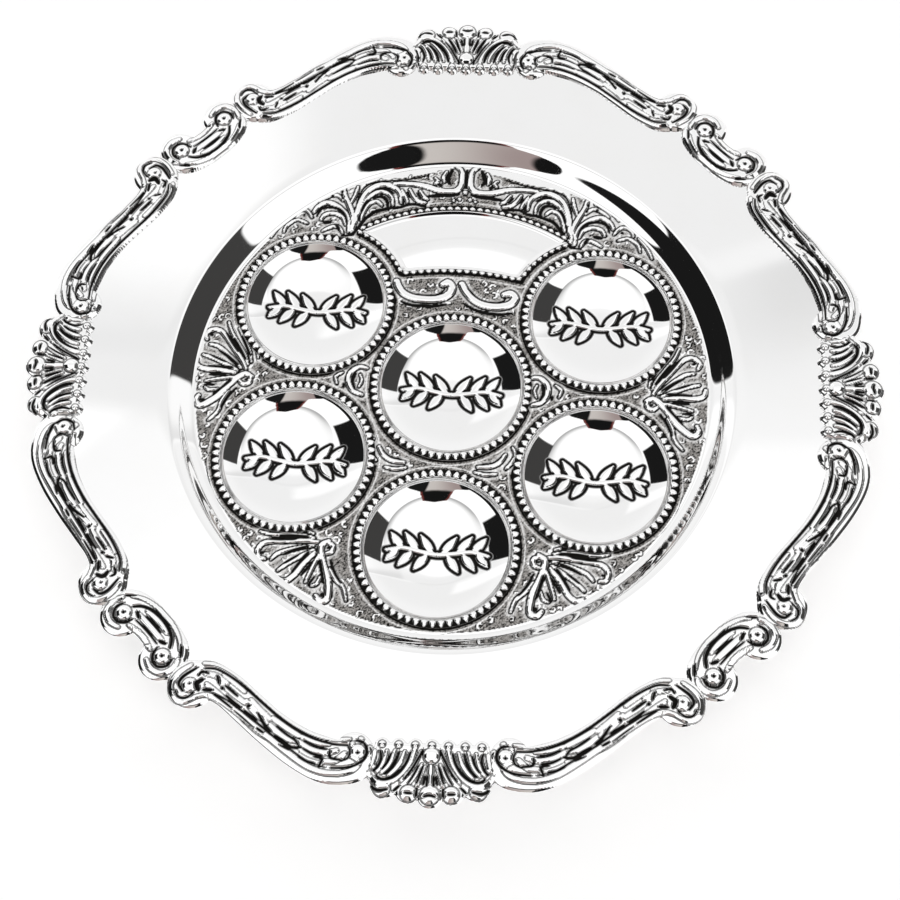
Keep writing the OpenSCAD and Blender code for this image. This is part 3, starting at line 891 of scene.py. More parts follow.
@dataclass
class Border:
    """Lines and widths of the border, shared by its mounts and by the sheet under them.

    Attributes:
        long_line: Middle line and width of a long scroll, as shares of the border's radius and of the band.
        long_volutes: Its two volutes, with radii as shares of the band.
        short_line: The same for a short scroll, with its middle on +Y.
        short_volutes: Its two volutes.
        shell_body: Corners of a shell, as shares of its half width and of its depth.
        shell_lobes: Its lobes, with radii as shares of the depth.
        bead_row: Half length of the row of beads at a shell's root, as a share of the shell's half width.
        bead_r: Radius of a bead's place in the outline, as a share of the depth.
    """

    band: float = 14.4
    shell_depth: float = 27.0
    shell_half: float = 28.0
    bead_count: int = 7
    bead_row: float = 0.76
    bead_r: float = 0.085
    long_line: Rows = (
        (0.143, 0.896, 0.4), (0.158, 0.9115, 0.9), (0.18, 0.914, 1.16), (0.225, 0.909, 1.28),
        (0.285, 0.885, 1.14), (0.35, 0.8435, 1.02), (0.4, 0.8035, 1), (0.45, 0.7635, 1.01),
        (0.5, 0.7405, 1.06), (0.53, 0.744, 0.9))
    long_volutes: Rows = ((0.166, 0.886, 0.52), (0.529, 0.754, 0.71))
    short_line: Rows = (
        (-0.092, 0.914, 0.5), (-0.075, 0.897, 0.95), (-0.045, 0.889, 1.06), (0, 0.8865, 1.07),
        (0.045, 0.889, 1.06), (0.075, 0.897, 0.95), (0.092, 0.914, 0.5))
    short_volutes: Rows = ((-0.068, 0.923, 0.64), (0.068, 0.923, 0.64))
    shell_body: Rows = (
        (-0.84, 0.02), (-0.97, 0.36), (-0.86, 0.72), (0.86, 0.72), (0.97, 0.36), (0.84, 0.02))
    shell_lobes: Rows = (
        (0, 0.81, 0.19), (0.34, 0.75, 0.18), (0.69, 0.65, 0.21), (0.87, 0.42, 0.15))

    def line(self, shares: Rows, steps: int) -> Points:
        """Returns a band's middle line with its half width, in millimetres."""
        rows = curve(shares, steps)
        return rows * [LAYOUT.border_r, LAYOUT.border_r, self.band / 2]

    def shell_distance(self, xy: Points) -> Points:
        """Returns the distance to the outline of the shell on +Y, negative inside."""
        root = LAYOUT.border_r - self.shell_depth
        body = np.array(self.shell_body) * [self.shell_half, self.shell_depth] + [0, root]
        best = polygon_distance(xy, body)
        for x, y, r in self.shell_lobes:
            for side in (-1, 1):
                centre = np.array([side * x * self.shell_half, root + y * self.shell_depth])
                best = np.minimum(best, from_disc(xy, centre, r * self.shell_depth))
        for x in self.bead_places():
            centre = np.array([x, root + 0.03 * self.shell_depth])
            best = np.minimum(best, from_disc(xy, centre, self.bead_r * self.shell_depth))
        return best

    def bead_places(self) -> list[float]:
        """Returns x of each bead in the row at a shell's root."""
        middle = (self.bead_count - 1) // 2
        return [(k / middle - 1) * self.bead_row * self.shell_half for k in range(self.bead_count)]

    def band_distance(self, xy: Points, line: Points, volutes: Rows) -> Points:
        """Returns the distance to a band with its volutes, negative inside."""
        best = np.full(len(xy), FAR_OFF)
        for start, end in zip(line, line[1:]):
            squares, share = to_segment(xy, start[:2], end[:2])
            best = np.minimum(best, np.sqrt(squares) - (start[2] + (end[2] - start[2]) * share))
        for x, y, r in volutes:
            best = np.minimum(best, from_disc(xy, np.array([x, y]) * LAYOUT.border_r, r * self.band))
        return best

    def outline_radius(self, inset: float, steps: int) -> Points:
        """Returns the radius of the border's outer edge at equal angles, from +X on.

        Args:
            inset: How far inside the mounts' edge.
            steps: Number of angles of the full turn, a multiple of eight.
        """
        angles = np.linspace(45, 90, steps // 8 + 1)
        radii = np.arange(150.0, 202.0, 0.2)
        between_mounts = 180.0
        a, r = np.meshgrid(np.radians(angles), radii, indexing="ij")
        xy = np.column_stack([(r * np.cos(a)).ravel(), (r * np.sin(a)).ravel()])
        short = turned(self.line(self.short_line, 4), -45)
        rounds = turned(np.array(self.short_volutes), -45)
        d = np.minimum(self.shell_distance(xy), self.band_distance(xy, short, rounds))
        d = np.minimum(d, self.band_distance(xy, self.line(self.long_line, 4), self.long_volutes))
        inner = d.reshape(a.shape) < -inset
        eighth = np.array([radii[row].max() if row.any() else between_mounts for row in inner])
        quarter = np.concatenate([eighth, eighth[-2:0:-1]])[:steps // 4]
        return np.roll(np.tile(quarter, 4), steps // 8)


@dataclass
class TrayBody:
    """The sheet of the tray: lip under the floor, curved wall of the well and flange.

    Attributes:
        foot: Height of the wall's foot over the chased floor.
        lap: Gap between the chased floor and the sheet that laps over it.
        round_from: Radius from which the flange follows the border's outline.
        tuck: How far the flange's edge lies inside the border's.
        edge_bulge: How far the edge of the sheet stands out at half its thickness.
    """

    lip_r: float = 118.4
    foot: float = 0.1
    lap: float = 0.02
    round_from: float = 165.0
    tuck: float = 1.0
    edge_bulge: float = 0.25
    wall_steps: int = 32
    flange_steps: int = 14
    turn_steps: int = 720
    crease: float = 50.0
    border: Border = field(default_factory=Border)

    def wall(self, shift: float) -> list[tuple[float, float]]:
        """Returns the wall of the well as radius and height of each point.

        Args:
            shift: Thickness by which its underside is drawn out. Without one it starts at its foot.
        """
        start = LAYOUT.floor_r if shift else LAYOUT.fillet_r
        r = np.linspace(start, LAYOUT.well_r, self.wall_steps + 1)
        z = LAYOUT.wall_level(r) + self.foot * ((LAYOUT.well_r - r) / (LAYOUT.well_r - LAYOUT.fillet_r)) ** 2
        nudge = 0.01
        slope = (LAYOUT.wall_level(r + nudge) - LAYOUT.wall_level(r - nudge)) / (2 * nudge)
        slope[-1] = 0.0
        norm = np.hypot(1, slope)
        return list(zip(r + shift * slope / norm, z - shift / norm))

    def build(self) -> bpy.types.Object:
        """Returns the tray's body."""
        piece = Bench.lathe("tray_body_polished", self.profile(), self.turn_steps)
        xyz = Bench.places(piece)
        xyz[:, :2] *= self.stretch(xyz)[:, None]
        Bench.place(piece, xyz)
        return Bench.finish(piece, TRAY_FINISH, Slot.TRAY, "tray_body", self.crease)

    def profile(self) -> list[tuple[float, float]]:
        """Returns the closed profile of the sheet, with a round flange."""
        lay, sheet = LAYOUT, LAYOUT.tray_sheet
        under = self.wall(sheet)[::-1]
        radii = np.linspace(lay.well_r, lay.border_r, self.flange_steps + 1)
        flange = [(r, lay.flange_z) for r in radii[1:]]
        edge = [(lay.border_r + self.edge_bulge, lay.flange_z - sheet * share) for share in (0.2, 0.8)]
        back = [(r, lay.flange_z - sheet) for r in radii[:0:-1]]
        seat_z, lap_z = lay.lip_z + sheet, lay.floor_z + self.lap
        return [(self.lip_r, seat_z), (lay.floor_r, seat_z), (lay.floor_r, lap_z), (lay.fillet_r, lap_z),
                *self.wall(0.0), *flange, *edge, *back, *under,
                (under[-1][0], lay.lip_z), (self.lip_r, lay.lip_z)]

    def stretch(self, xyz: Points) -> Points:
        """Returns the factor that brings each vertex of the round flange to the border's outline."""
        radius = np.hypot(xyz[:, 0], xyz[:, 1])
        turn = np.degrees(np.arctan2(xyz[:, 1], xyz[:, 0])) % 360 / 360
        edge = self.border.outline_radius(self.tuck, self.turn_steps)
        wanted = edge[np.round(turn * self.turn_steps).astype(int) % self.turn_steps]
        near = self.round_from
        share = np.clip((radius - near) / (LAYOUT.border_r - near), 0, 1.01)
        return np.where(radius > near, near + (wanted - near) * share, radius) / np.maximum(radius, 1e-6)


@dataclass
class FootRing:
    """The plain ring that the tray stands on.

    Attributes:
        straight: Height of the straight outer side, over which the ring is hollowed.
        cove: Depth of that hollow.
    """

    inner: float = 120.8
    outer: float = 126.4
    straight: float = 1.4
    cove: float = 2.0
    cove_points: int = 13
    steps: int = 256
    crease: float = 50.0

    def build(self) -> bpy.types.Object:
        """Returns the foot ring."""
        lift = LAYOUT.lip_z - self.straight
        cove = [(LAYOUT.floor_r + self.cove * (1 - math.sin(a)), self.straight + lift * (1 - math.cos(a)))
                for a in np.linspace(0, math.pi / 2, self.cove_points)]
        foot = [(self.inner + 0.3, 0.0), (self.outer - 0.4, 0.0), (self.outer - 0.1, 0.12), (self.outer, 0.4)]
        profile = [*foot, *cove, (self.inner, LAYOUT.lip_z), (self.inner, 0.3), (self.inner + 0.1, 0.08)]
        piece = Bench.lathe("foot_ring_turned", profile, self.steps)
        return Bench.finish(piece, FOOT_FINISH, Slot.FOOT, "foot_ring", self.crease)


@dataclass
class Cups:
    """Six cups pressed from sheet, each a flattened bowl with a leafy twig in it.

    Attributes:
        even_to: Radius up to which the bowl has points at an even pitch, for the twig.
        twig_to: Radius of the area that holds the twig.
        lift: How far the twig lies above the cup's middle, as seen in the picture.
        rise: Height of its leaves.
        halo: Reach of the dark ground round it.
        stem: Its half width, then x and y of each point.
        leaves: Root and tip of each leaf on the right side.
    """

    steps: int = 288
    even_to: float = 30.2
    pitch: float = 0.5
    wall_points: int = 26
    under_points: int = 24
    rim_bevel: float = 0.3
    rim_rise: float = 0.06
    crease: float = 60.0
    twig_to: float = 32.0
    lift: float = 1.2
    rise: float = 0.5
    halo: float = 1.9
    stem: Sequence[float] = (1.1, -23.5, -1.2, -16, 0.6, -8, -0.5, 0, -1.6, 8, -0.5, 16, 0.6, 23.5, -1.2)
    leaves: Rows = (
        (2.2, -1.4, 8.2, 7.4), (9.0, -0.6, 15.4, 8.0), (16.0, 0.2, 21.8, 7.2),
        (4.6, -1.8, 10.2, -9.4), (11.6, -0.8, 17.6, -8.2), (18.0, -0.2, 23.2, -6.2))

    def bowl(self, r: Points, mouth: float, depth: float) -> Points:
        """Returns the height of a bowl under its mouth at the given radii."""
        return -depth * np.sqrt(np.clip(1 - (r / mouth) ** (2 / LAYOUT.cup_power), 0, 1))

    def profile(self) -> list[tuple[float, float]]:
        """Returns the profile of a cup with its rim on the level of the floor."""
        sheet, depth, mouth = LAYOUT.sheet, LAYOUT.cup_depth, LAYOUT.cup_mouth
        body, deep = mouth + sheet, depth + sheet
        even = np.arange(0.0, self.even_to, self.pitch)
        start = math.asin((self.even_to / mouth) ** (1 / LAYOUT.cup_power))
        wall = mouth * np.sin(np.linspace(start, math.pi / 2, self.wall_points)) ** LAYOUT.cup_power
        r = np.concatenate([even, wall])
        inside = list(zip(r, sheet + self.bowl(r, mouth, depth)))
        top, edge = sheet + self.rim_rise, LAYOUT.cup_rim
        rim = [(mouth + self.rim_bevel, top), (edge - self.rim_bevel, top), (edge, sheet - 0.2), (edge, 0.0)]
        angles = np.linspace(math.acos(sheet / deep), 0, self.under_points)
        outside = list(zip(body * np.sin(angles) ** LAYOUT.cup_power, sheet - deep * np.cos(angles)))
        return inside + rim + outside

    def twig(self, xy: Points) -> Relief:
        """Returns the relief of the twig over the bowl."""
        relief = Relief(xy)
        stem = drawn(self.stem) + [0, self.lift, 0]
        s = np.linspace(0, 1, 9)
        for x0, y0, x1, y1 in self.leaves:
            for side in (-1, 1):
                root, tip = np.array([side * x0, y0 + self.lift]), np.array([side * x1, y1 + self.lift])
                width = 0.4 + 1.7 * np.sin(np.pi * s ** 0.8)
                line = np.column_stack([root + (tip - root) * s[:, None], width])
                relief.stroke(line, self.rise, 1.0, self.halo, base=0.0)
        relief.stroke(stem, self.rise * 1.1, 1.0, self.halo, base=0.0)
        return relief

    def build(self) -> list[bpy.types.Object]:
        """Returns the six cups."""
        first = Bench.lathe("cup_pattern", self.profile(), self.steps, closed=False)
        xyz = Bench.places(first)
        radius = np.hypot(xyz[:, 0], xyz[:, 1])
        level = LAYOUT.sheet + self.bowl(radius, LAYOUT.cup_mouth, LAYOUT.cup_depth)
        inner = (radius < self.twig_to) & (np.abs(xyz[:, 2] - level) < 0.05)
        relief = self.twig(xyz[inner, :2])
        xyz[inner, 2] += relief.height
        tarnish = np.zeros(len(xyz))
        tarnish[inner] = relief.tarnish
        Bench.place(first, xyz)
        Bench.coat(first, Mark.TARNISH, tarnish)
        made = []
        for name, centre in LAYOUT.centres().items():
            place = np.array([*centre, LAYOUT.floor_z])
            piece = Bench.copy(first, f"{name}_cup_pressed",
                               lambda p, to=place: turned(p, LAYOUT.disc_turn) + to)
            made.append(Bench.finish(piece, CUP_FINISH, Slot.CUP, f"{name}_cup", self.crease))
        bpy.data.objects.remove(first)
        return made


@dataclass
class Collars:
    """Gadrooned wires that hide the seams of the cups.

    Attributes:
        inner, outer: Radii between which the gadroons lie.
        seat: Height of the flat wire under them.
        height: Height of the gadroons over the cup's rim.
        half_width: Half width of a gadroon at its round inner end.
        narrowing: Share of that width that it loses towards its outer end.
    """

    teeth: int = 60
    inner: float = 34.5
    outer: float = 38.0
    seat: float = 0.5
    height: float = 1.2
    half_width: float = 1.85
    narrowing: float = 0.6
    lip: float = 0.3
    gap: float = 0.02
    steps: int = 224
    crease: float = 60.0

    def tooth(self) -> bpy.types.Object:
        """Returns one gadroon, rounder at its inner end."""
        mid, half = (self.inner + self.outer) / 2, (self.outer - self.inner) / 2
        top, rise = LAYOUT.sheet + self.seat, self.height - self.seat
        piece = Bench.ball("gadroon_pattern", 1.0)
        xyz = Bench.places(piece) * [half, self.half_width, rise] + [mid, 0, top]
        xyz[:, 1] *= 1 - self.narrowing * smooth(xyz[:, 0], mid - 1.4, self.outer)
        along = (xyz[:, 0] - mid) / half
        xyz[:, 0] = mid + np.sign(along) * np.abs(along) ** 0.75 * half
        xyz[:, 2] = flat_topped(xyz[:, 2], top, rise)
        Bench.place(piece, xyz)
        Bench.cut_off_below(LAYOUT.sheet + self.seat * 0.4)
        return piece

    def wire(self) -> bpy.types.Object:
        """Returns the flat wire that the gadroons lie on, painted dark all over as the shade between the
        gadroons.
        """
        low, high = LAYOUT.sheet + self.gap, LAYOUT.sheet + self.seat
        edge = self.inner + self.lip
        profile = [(edge, low), (edge, high - 0.1), (edge + 0.12, high), (self.outer - 0.5, high),
                   (self.outer, high - 0.25), (self.outer, low)]
        piece = Bench.lathe("collar_seat", profile, self.steps)
        radius = np.hypot(*Bench.places(piece)[:, :2].T)
        # Painted shade: the wire is darkened almost everywhere, so that it shows dark between the gadroons.
        Bench.coat(piece, Mark.TARNISH, 0.95 * smooth(radius, self.inner, self.inner + 0.4))
        return piece

    def build(self) -> list[bpy.types.Object]:
        """Returns the six collars."""
        high = LAYOUT.sheet + self.seat
        seat, first = self.wire(), self.tooth()
        # Painted shade at the foot of each gadroon, just over the wire.
        below = 0.8 * smooth(-Bench.places(first)[:, 2], -(high + 0.12), -(high - 0.25))
        Bench.coat(first, Mark.TARNISH, below)
        pitch = 360 / self.teeth
        teeth = [Bench.copy(first, "gadroon", lambda p, a=k * pitch: turned(p, a)) for k in range(self.teeth)]
        bpy.data.objects.remove(first)
        pattern = Bench.join("collar_pattern", [seat, *teeth])
        made = []
        for name, centre in LAYOUT.centres().items():
            place = np.array([*centre, LAYOUT.floor_z])
            piece = Bench.copy(pattern, f"{name}_collar_gadrooned", lambda p, to=place: p + to)
            made.append(Bench.finish(piece, COLLAR_FINISH, Slot.COLLAR, f"{name}_collar", self.crease))
        bpy.data.objects.remove(pattern)
        return made


# Crescent pan


@dataclass
class CrescentPan:
    """The shallow pan at the top of the floor, and the beaded wire round it.

    Attributes:
        depth: Depth of its flat underside below the chased floor.
        edge_rise: Height of its edge over the chased floor.
        shallow: Depth of the pan along its upper side.
        wall: Width over which its edge falls away.
        bend: How quickly its floor falls away towards the tray's middle.
        level_to: Radius outside which its floor is level.
        corner: Length over which the outline's corners are softened.
        ring_points: Points of the softened outline.
        bead_step: Pitch of the beads.
        bead_flat: Share that the beads keep of their height.
        wire_w, wire_h: Width and height of the wire under them.
    """

    depth: float = 2.2
    sheet: float = 0.8
    edge_rise: float = 0.25
    shallow: float = 0.9
    wall: float = 2.4
    bend: float = 0.0055
    level_to: float = 86.0
    corner: float = 3.0
    ring_points: int = 480
    cells: tuple[int, int] = (150, 90)
    crease: float = 50.0
    bead_r: float = 0.98
    bead_step: float = 3.7
    bead_flat: float = 0.75
    wire_w: float = 2.0
    wire_h: float = 0.3
    wire_gap: float = 0.3
    wire_crease: float = 60.0

    def rounded(self, grow: float) -> Points:
        """Returns the outline with its corners softened, before the floor's turn.

        Args:
            grow: How far outside the pan's own edge it lies.
        """
        rows = LAYOUT.pan_outline(grow)
        closed = np.vstack([rows, rows[:1]])
        lengths = run_lengths(closed)
        ring = spots_along(closed, lengths, np.linspace(0, lengths[-1], self.ring_points + 1)[:-1])
        reach = max(1, round(self.corner / (lengths[-1] / self.ring_points)))
        return sum(np.roll(ring, k, axis=0) for k in range(-reach, reach + 1)) / (2 * reach + 1)

    def patch(self, uv: Points) -> Points:
        """Returns points inside the pan's outline, blended from its four sides.

        Args:
            uv: Shares of the way from left to right and from the base to the top.
        """
        ring = self.rounded(0.0)
        right_corners = LAYOUT.pan_outline(0.0)[[0, LAYOUT.arc_points]]
        corners = [*right_corners, *flipped(right_corners)[::-1]]
        nearest = [int(np.argmin(np.linalg.norm(ring - corner, axis=1))) for corner in corners]
        low_right, high_right, high_left, low_left = nearest

        def side(start: int, stop: int, share: Points) -> Points:
            """Returns points of the outline from one corner on to the next."""
            count = (stop - start) % len(ring)
            part = ring[(start + np.arange(count + 1)) % len(ring)]
            lengths = run_lengths(part)
            return spots_along(part, lengths, share * lengths[-1])

        u, v = uv[:, :1], uv[:, 1:]
        base, top = side(low_left, low_right, uv[:, 0]), side(high_right, high_left, 1 - uv[:, 0])
        right, left = side(low_right, high_right, uv[:, 1]), side(high_left, low_left, 1 - uv[:, 1])
        a, b, c, d = ring[low_left], ring[low_right], ring[high_left], ring[high_right]
        return ((1 - v) * base + v * top + (1 - u) * left + u * right
                - ((1 - u) * (1 - v) * a + u * (1 - v) * b + (1 - u) * v * c + u * v * d))

    def pan(self) -> bpy.types.Object:
        """Returns the pan: a low wall and a floor that falls away gently towards the middle of the tray."""
        def close(share: Points) -> Points:
            """Returns the shares drawn closer together near 0 and 1."""
            return 0.5 - 0.5 * np.cos(np.pi * share) * (0.55 + 0.45 * np.cos(np.pi * share) ** 2)

        outline = self.rounded(0.0)

        def laid(uv: Points) -> Points:
            """Returns the pan's vertices from the grid's."""
            xy = self.patch(close(uv))
            inward = np.clip(-polygon_distance(xy, outline), 0, None)
            r = np.hypot(xy[:, 0], xy[:, 1])
            sink = np.clip(self.level_to - r + 0.06 * xy[:, 0], 0, 30)
            drop = (self.shallow + 0.5 * self.bend * sink ** 2) * smooth(inward, -0.6, self.wall)
            drop[(uv.min(1) < 1e-6) | (uv.max(1) > 1 - 1e-6)] = 0
            return np.column_stack([turned(xy, LAYOUT.disc_turn), LAYOUT.floor_z + self.edge_rise - drop])

        piece = Bench.sheet("crescent_pan_polished", *self.cells, laid)
        Bench.close_below(piece, LAYOUT.floor_z - self.depth - self.sheet)
        return Bench.finish(piece, PAN_FINISH, Slot.CUP, "crescent_pan", self.crease)

    def beading(self) -> bpy.types.Object:
        """Returns the wire with its beads."""
        ring = turned(self.rounded(self.wire_gap + self.wire_w / 2), LAYOUT.disc_turn)
        closed = np.vstack([ring, ring[:1]])
        lengths = run_lengths(closed)
        count = round(lengths[-1] / self.bead_step)
        at = np.arange(count) * lengths[-1] / count
        spots, ahead = (spots_along(closed, lengths, v) for v in (at, at + 0.4))
        facing = np.degrees(np.arctan2(*(ahead - spots).T[::-1])) - 90
        bead = self.bead()
        beads = [Bench.copy(bead, "bead", lambda p, x=x, y=y, a=a: turned(p, a) + [x, y, 0])
                 for (x, y), a in zip(spots, facing)]
        bpy.data.objects.remove(bead)
        piece = Bench.join("crescent_beading_wire", [self.strip(ring), *beads])
        return Bench.finish(piece, COLLAR_FINISH, Slot.COLLAR, "crescent_beading", self.wire_crease)

    def bead(self) -> bpy.types.Object:
        """Returns one long bead, narrower at its outer end, over the place of the tray's middle."""
        foot, flat = LAYOUT.floor_z + self.wire_h, self.bead_flat
        piece = Bench.ball("bead_pattern", self.bead_r)
        Bench.place(piece, Bench.places(piece) + [0, 0, foot])
        Bench.cut_off_below(foot - 0.15)
        xyz = Bench.places(piece)
        xyz[:, 1] *= 1.8 * (1 - 0.6 * smooth(xyz[:, 0], -0.5, self.bead_r))
        xyz[:, 2] = flat_topped(xyz[:, 2], foot, self.bead_r) * flat + foot * (1 - flat)
        Bench.place(piece, xyz)
        # Painted shadow at the foot of each bead.
        Bench.coat(piece, Mark.TARNISH, 0.8 * smooth(-xyz[:, 2], -(foot + 0.2), -(foot - 0.1)))
        return piece

    def strip(self, ring: Points) -> bpy.types.Object:
        """Returns the flat wire under the beads, painted dark all over as the shadow between the beads.

        Args:
            ring: Its middle line.
        """
        d = np.roll(ring, -1, axis=0) - np.roll(ring, 1, axis=0)
        normal = np.column_stack([d[:, 1], -d[:, 0]]) / np.linalg.norm(d, axis=1)[:, None]
        half, high = self.wire_w / 2, self.wire_h
        right = [(half * 0.7, high), (half, high - 0.1), (half, 0.0)]
        section = np.array([(-x, z) for x, z in right[::-1]] + right)

        def laid(uv: Points) -> Points:
            """Returns the strip's vertices from the grid's."""
            i = np.round(uv[:, 0] * len(ring)).astype(int) % len(ring)
            k = np.round(uv[:, 1] * (len(section) - 1)).astype(int)
            out, up = section[k].T
            return np.column_stack([ring[i] + normal[i] * out[:, None], LAYOUT.floor_z + 0.02 + up])

        piece = Bench.sheet("beading_strip", len(ring), len(section) - 1, laid)
        Bench.weld(0.001, face_out=False)
        Bench.close_below(piece, LAYOUT.floor_z + 0.01)
        # Painted shadow over the whole strip, which shows dark between the beads.
        Bench.coat(piece, Mark.TARNISH, np.full(len(piece.data.vertices), 0.85))
        return piece


# Chased floor


@dataclass
class CentrePlate:
    """The chased floor of the well.

    The tables give strokes: a half width, then x and y of each point, before the floor's turn. Those on one
    side only are mirrored, and those with cuts in their name are dark grooves. One of the crest's cuts is
    painted shadow under the crest's band.

    Attributes:
        cell: Size of the relief's grid.
        hole: Radius of the holes for the cups.
        pan_gap, wire_reach: Gap round the pan, and how far outside it its wire ends.
        rise: Height of the ornament over the ground.
        axis: The line x = axis in which the ornament is mirrored.
        lower_turn: Turn in degrees of the palmettes between the lower cups, against those at the sides.
        rim: Width of the polished rim.
        grain: Height of the matted ground's grain.
        wires: Distance of the thin wire from a cup's rim and from the wire of the pan.
        speck_gap: Least distance between two of the small curls.
        crest_edge: x and y of each point of the crest's outer edge, on its right side.
        berries: Place and radius of each round berry under the crest's middle.
    """

    cell: float = 0.53
    radius: float = 124.25
    hole: float = 35.6
    pan_gap: float = 0.3
    wire_reach: float = 2.3
    thickness: float = 1.2
    rise: float = 0.75
    axis: float = -1.5
    lower_turn: float = 58.0
    rim: float = 3.6
    grain: float = 0.06
    wires: tuple[float, float] = (2.1, 2.5)
    speck_gap: float = 2.9
    speck_tries: int = 3000
    speck_seed: int = 11
    grain_seed: int = 7
    crease: float = 78.0
    berries: Rows = (
        (0, 106.4, 1.2), (-2.6, 102.4, 1.0), (2.6, 102.4, 1.0), (-5.4, 101.4, 0.8), (5.4, 101.4, 0.8))
    crest_middle: Sequence[float] = (1.0, -1.5, 119.5, -1.5, 114, -1.5, 109.4)
    crest_edge: Sequence[float] = (
        0, 124, 6.6, 121.8, 10.4, 117.6, 20, 115.6, 28.5, 113, 36.5, 111.6, 44.5, 110.4, 49.8, 107.8,
        52.2, 102)
    crest: Rows = (
        (0.8, -76, 87.5, -79.5, 91.5, -84, 90.5, -85.5, 87),
        (0.8, -78, 84, -83, 85.5, -87.5, 82.5, -89, 78.5),
        (0.7, -66, 104, -71, 102.5, -75, 99.5, -78, 95.5), (0.7, -88, 86, -92, 81, -95, 75),
        (0.8, -61.5, 98, -65, 101, -69.5, 99.7, -73, 96.8), (0.8, -57.5, 97, -55.8, 102, -55, 106.5),
        (0.9, -60, 79.7, -62.5, 83, -66, 82.6, -70, 80.2),
        (1.0, -59, 84.5, -61, 88.5, -65, 90.4, -69.5, 89.6, -71.5, 86.4),
        (1.2, -57, 80.5, -57.5, 86, -60, 91, -64.5, 95, -69.5, 96.4, -73.5, 94, -75.5, 90.5),
        (1.2, -55.5, 79.5, -55.2, 85, -56, 90, -58.5, 96, -61, 101, -62, 105.5),
        (0.9, -51.6, 87.5, -50.5, 93, -48, 97.4, -44.6, 98.6, -42.2, 96.6),
        (0.9, -53, 91, -51.3, 96.5, -48.5, 101.4, -44.5, 104.3, -40.5, 104, -37.6, 101, -36.8, 97),
        (1.3, -54.4, 86, -54, 92, -52.8, 98, -50, 104, -46, 107.5, -41, 108.6, -36.5, 107, -33.6, 103.5,
         -32.8, 99), (1.0, -29.2, 106.5, -27, 102.5, -24, 100, -20.8, 99.4),
        (0.8, -33, 106, -31, 102, -29.6, 99), (0.9, -24, 106, -22, 103, -19.8, 101.4),
        (0.8, -17.2, 114, -15.6, 112.2, -17, 110.6), (0.9, -11.6, 118, -13, 114.8, -12.4, 112),
        (1.5, -6.6, 121, -4.3, 119, -3.5, 114.5, -4, 110, -6.4, 107.2, -11, 106.5, -16, 107.3, -21.5, 109,
         -29, 109.8, -37, 109.3))
    crest_cuts: Rows = (
        (0.5, -21, 115.2, -30, 112.6, -38, 111.2, -46, 110, -51.3, 107.2, -53.8, 102, -55, 96.5),
        (1.0, -8.8, 119.8, -10, 116.4, -10.7, 113.4, -9.4, 111.2), (1.0, -15, 110.6, -13.6, 110),
        # This cut is painted shadow under the crest's band, cut in as a dark groove.
        (1.0, -20, 103.4, -14, 104.2, -8, 104.7, -4.6, 105.6),
        (0.9, -46.8, 100.6, -43.5, 101.8, -41, 101, -39.6, 98.5, -39.3, 96),
        (0.8, -51.9, 92.3, -50.8, 96, -49.2, 99), (0.7, -44.5, 106, -40.5, 106, -37, 104),
        (0.9, -60.2, 78.2, -55.5, 79.2, -53.2, 82.5, -50.3, 87.5, -46.5, 92, -43, 93.8, -38, 95.4, -33,
         96.2, -29.5, 98, -25.5, 98.2, -20.5, 97.4), (0.6, -30.4, 105.2, -28.8, 102.3),
        (0.6, -25.5, 105, -23.4, 102), (0.7, -32, 101.3, -31.6, 98),
        (0.7, -58.3, 84.5, -59.8, 89.5, -63, 92.8, -68, 94, -72, 92.5, -73.8, 88.5),
        (1.0, -70, 85.2, -66.4, 85.6), (0.8, -64, 84.4, -61.8, 81.6), (0.8, -67.2, 100.3),
        (0.8, -62.6, 103), (0.8, -62, 99.4), (0.7, -80, 88.8), (0.7, -75, 98))
    palmette: Rows = (
        (0.7, -93, 9, -94.5, 15, -98, 21, -101, 27), (0.7, -96, 6.5, -97.4, 12, -100.5, 18, -104, 24),
        (0.8, -97.5, 5, -99.6, 10, -103.4, 15.8, -107.5, 22, -109.5, 27),
        (0.8, -105, -9.5, -107.5, -15, -108.5, -20, -112.5, -25), (0.7, -110, -8.6, -114, -9.4, -116.4, -8),
        (0.8, -103, -1.8, -109.5, -3.2, -116.5, -4.8), (0.9, -102, 1.6, -108, 4.6, -114, 7.2, -119.5, 8.8),
        (0.9, -100.4, 3, -104.5, 7, -109, 11, -113, 13.8, -117, 14.6),
        (1.2, -103, 0.4, -110, 1.4, -117, 1.4, -121.5, 3, -122.4, 6.4),
        (1.1, -98, 2.4, -100.5, 7, -105, 13, -110, 19.5, -113.5, 22.4, -117.4, 22.2, -119.6, 19.6, -118.6,
         17), (1.0, -95.6, -1.2, -95.4, -4, -98, -5.4, -100.4, -3.8),
        (1.5, -94.8, -1.2, -98, 0.2, -101.5, -2, -105.5, -6.5, -109, -11.5, -113, -15.2, -117, -17.6,
         -119.6, -15.8, -118.8, -12.6))
    palmette_cuts: Rows = (
        (0.7, -102, 4.6, -107, 8.4, -112, 11.6), (0.6, -98.6, 7.6, -102, 13, -105.6, 18.4),
        (0.6, -103, 11.4, -107, 16.8, -110, 21.4), (0.6, -96.6, 9.6, -99.4, 15, -102, 20),
        (0.8, -116.8, 19.8), (0.8, -104.4, 2.9, -110, 3.2, -116, 3.2), (0.6, -108.5, 5.8, -115, 8.4),
        (0.7, -107, -1.2, -115, -1.2), (0.8, -104.4, -3.8, -108, -7.4, -112, -11.4), (1.0, -116.6, -14.6),
        (0.7, -97.6, -2.8), (0.6, -112, -6.4, -117, -6.6), (0.7, -101.6, -7.4, -105, -12.4, -107.4, -18))
    bows: Rows = (
        (1.9, -30.8, 54.5, -29.6, 51.5, -26.5, 48, -21, 46, -13, 45.8, -7.5, 47.2, -4.3, 50, -4, 53.5, -6,
         55.6, -8.3, 54.2),
        (1.9, 0.8, 55, 3, 51.2, 7.5, 46.6, 13, 44.2, 19, 43.8, 24.5, 45.3, 27, 48.5, 25, 51.4, 21.8, 50.6))
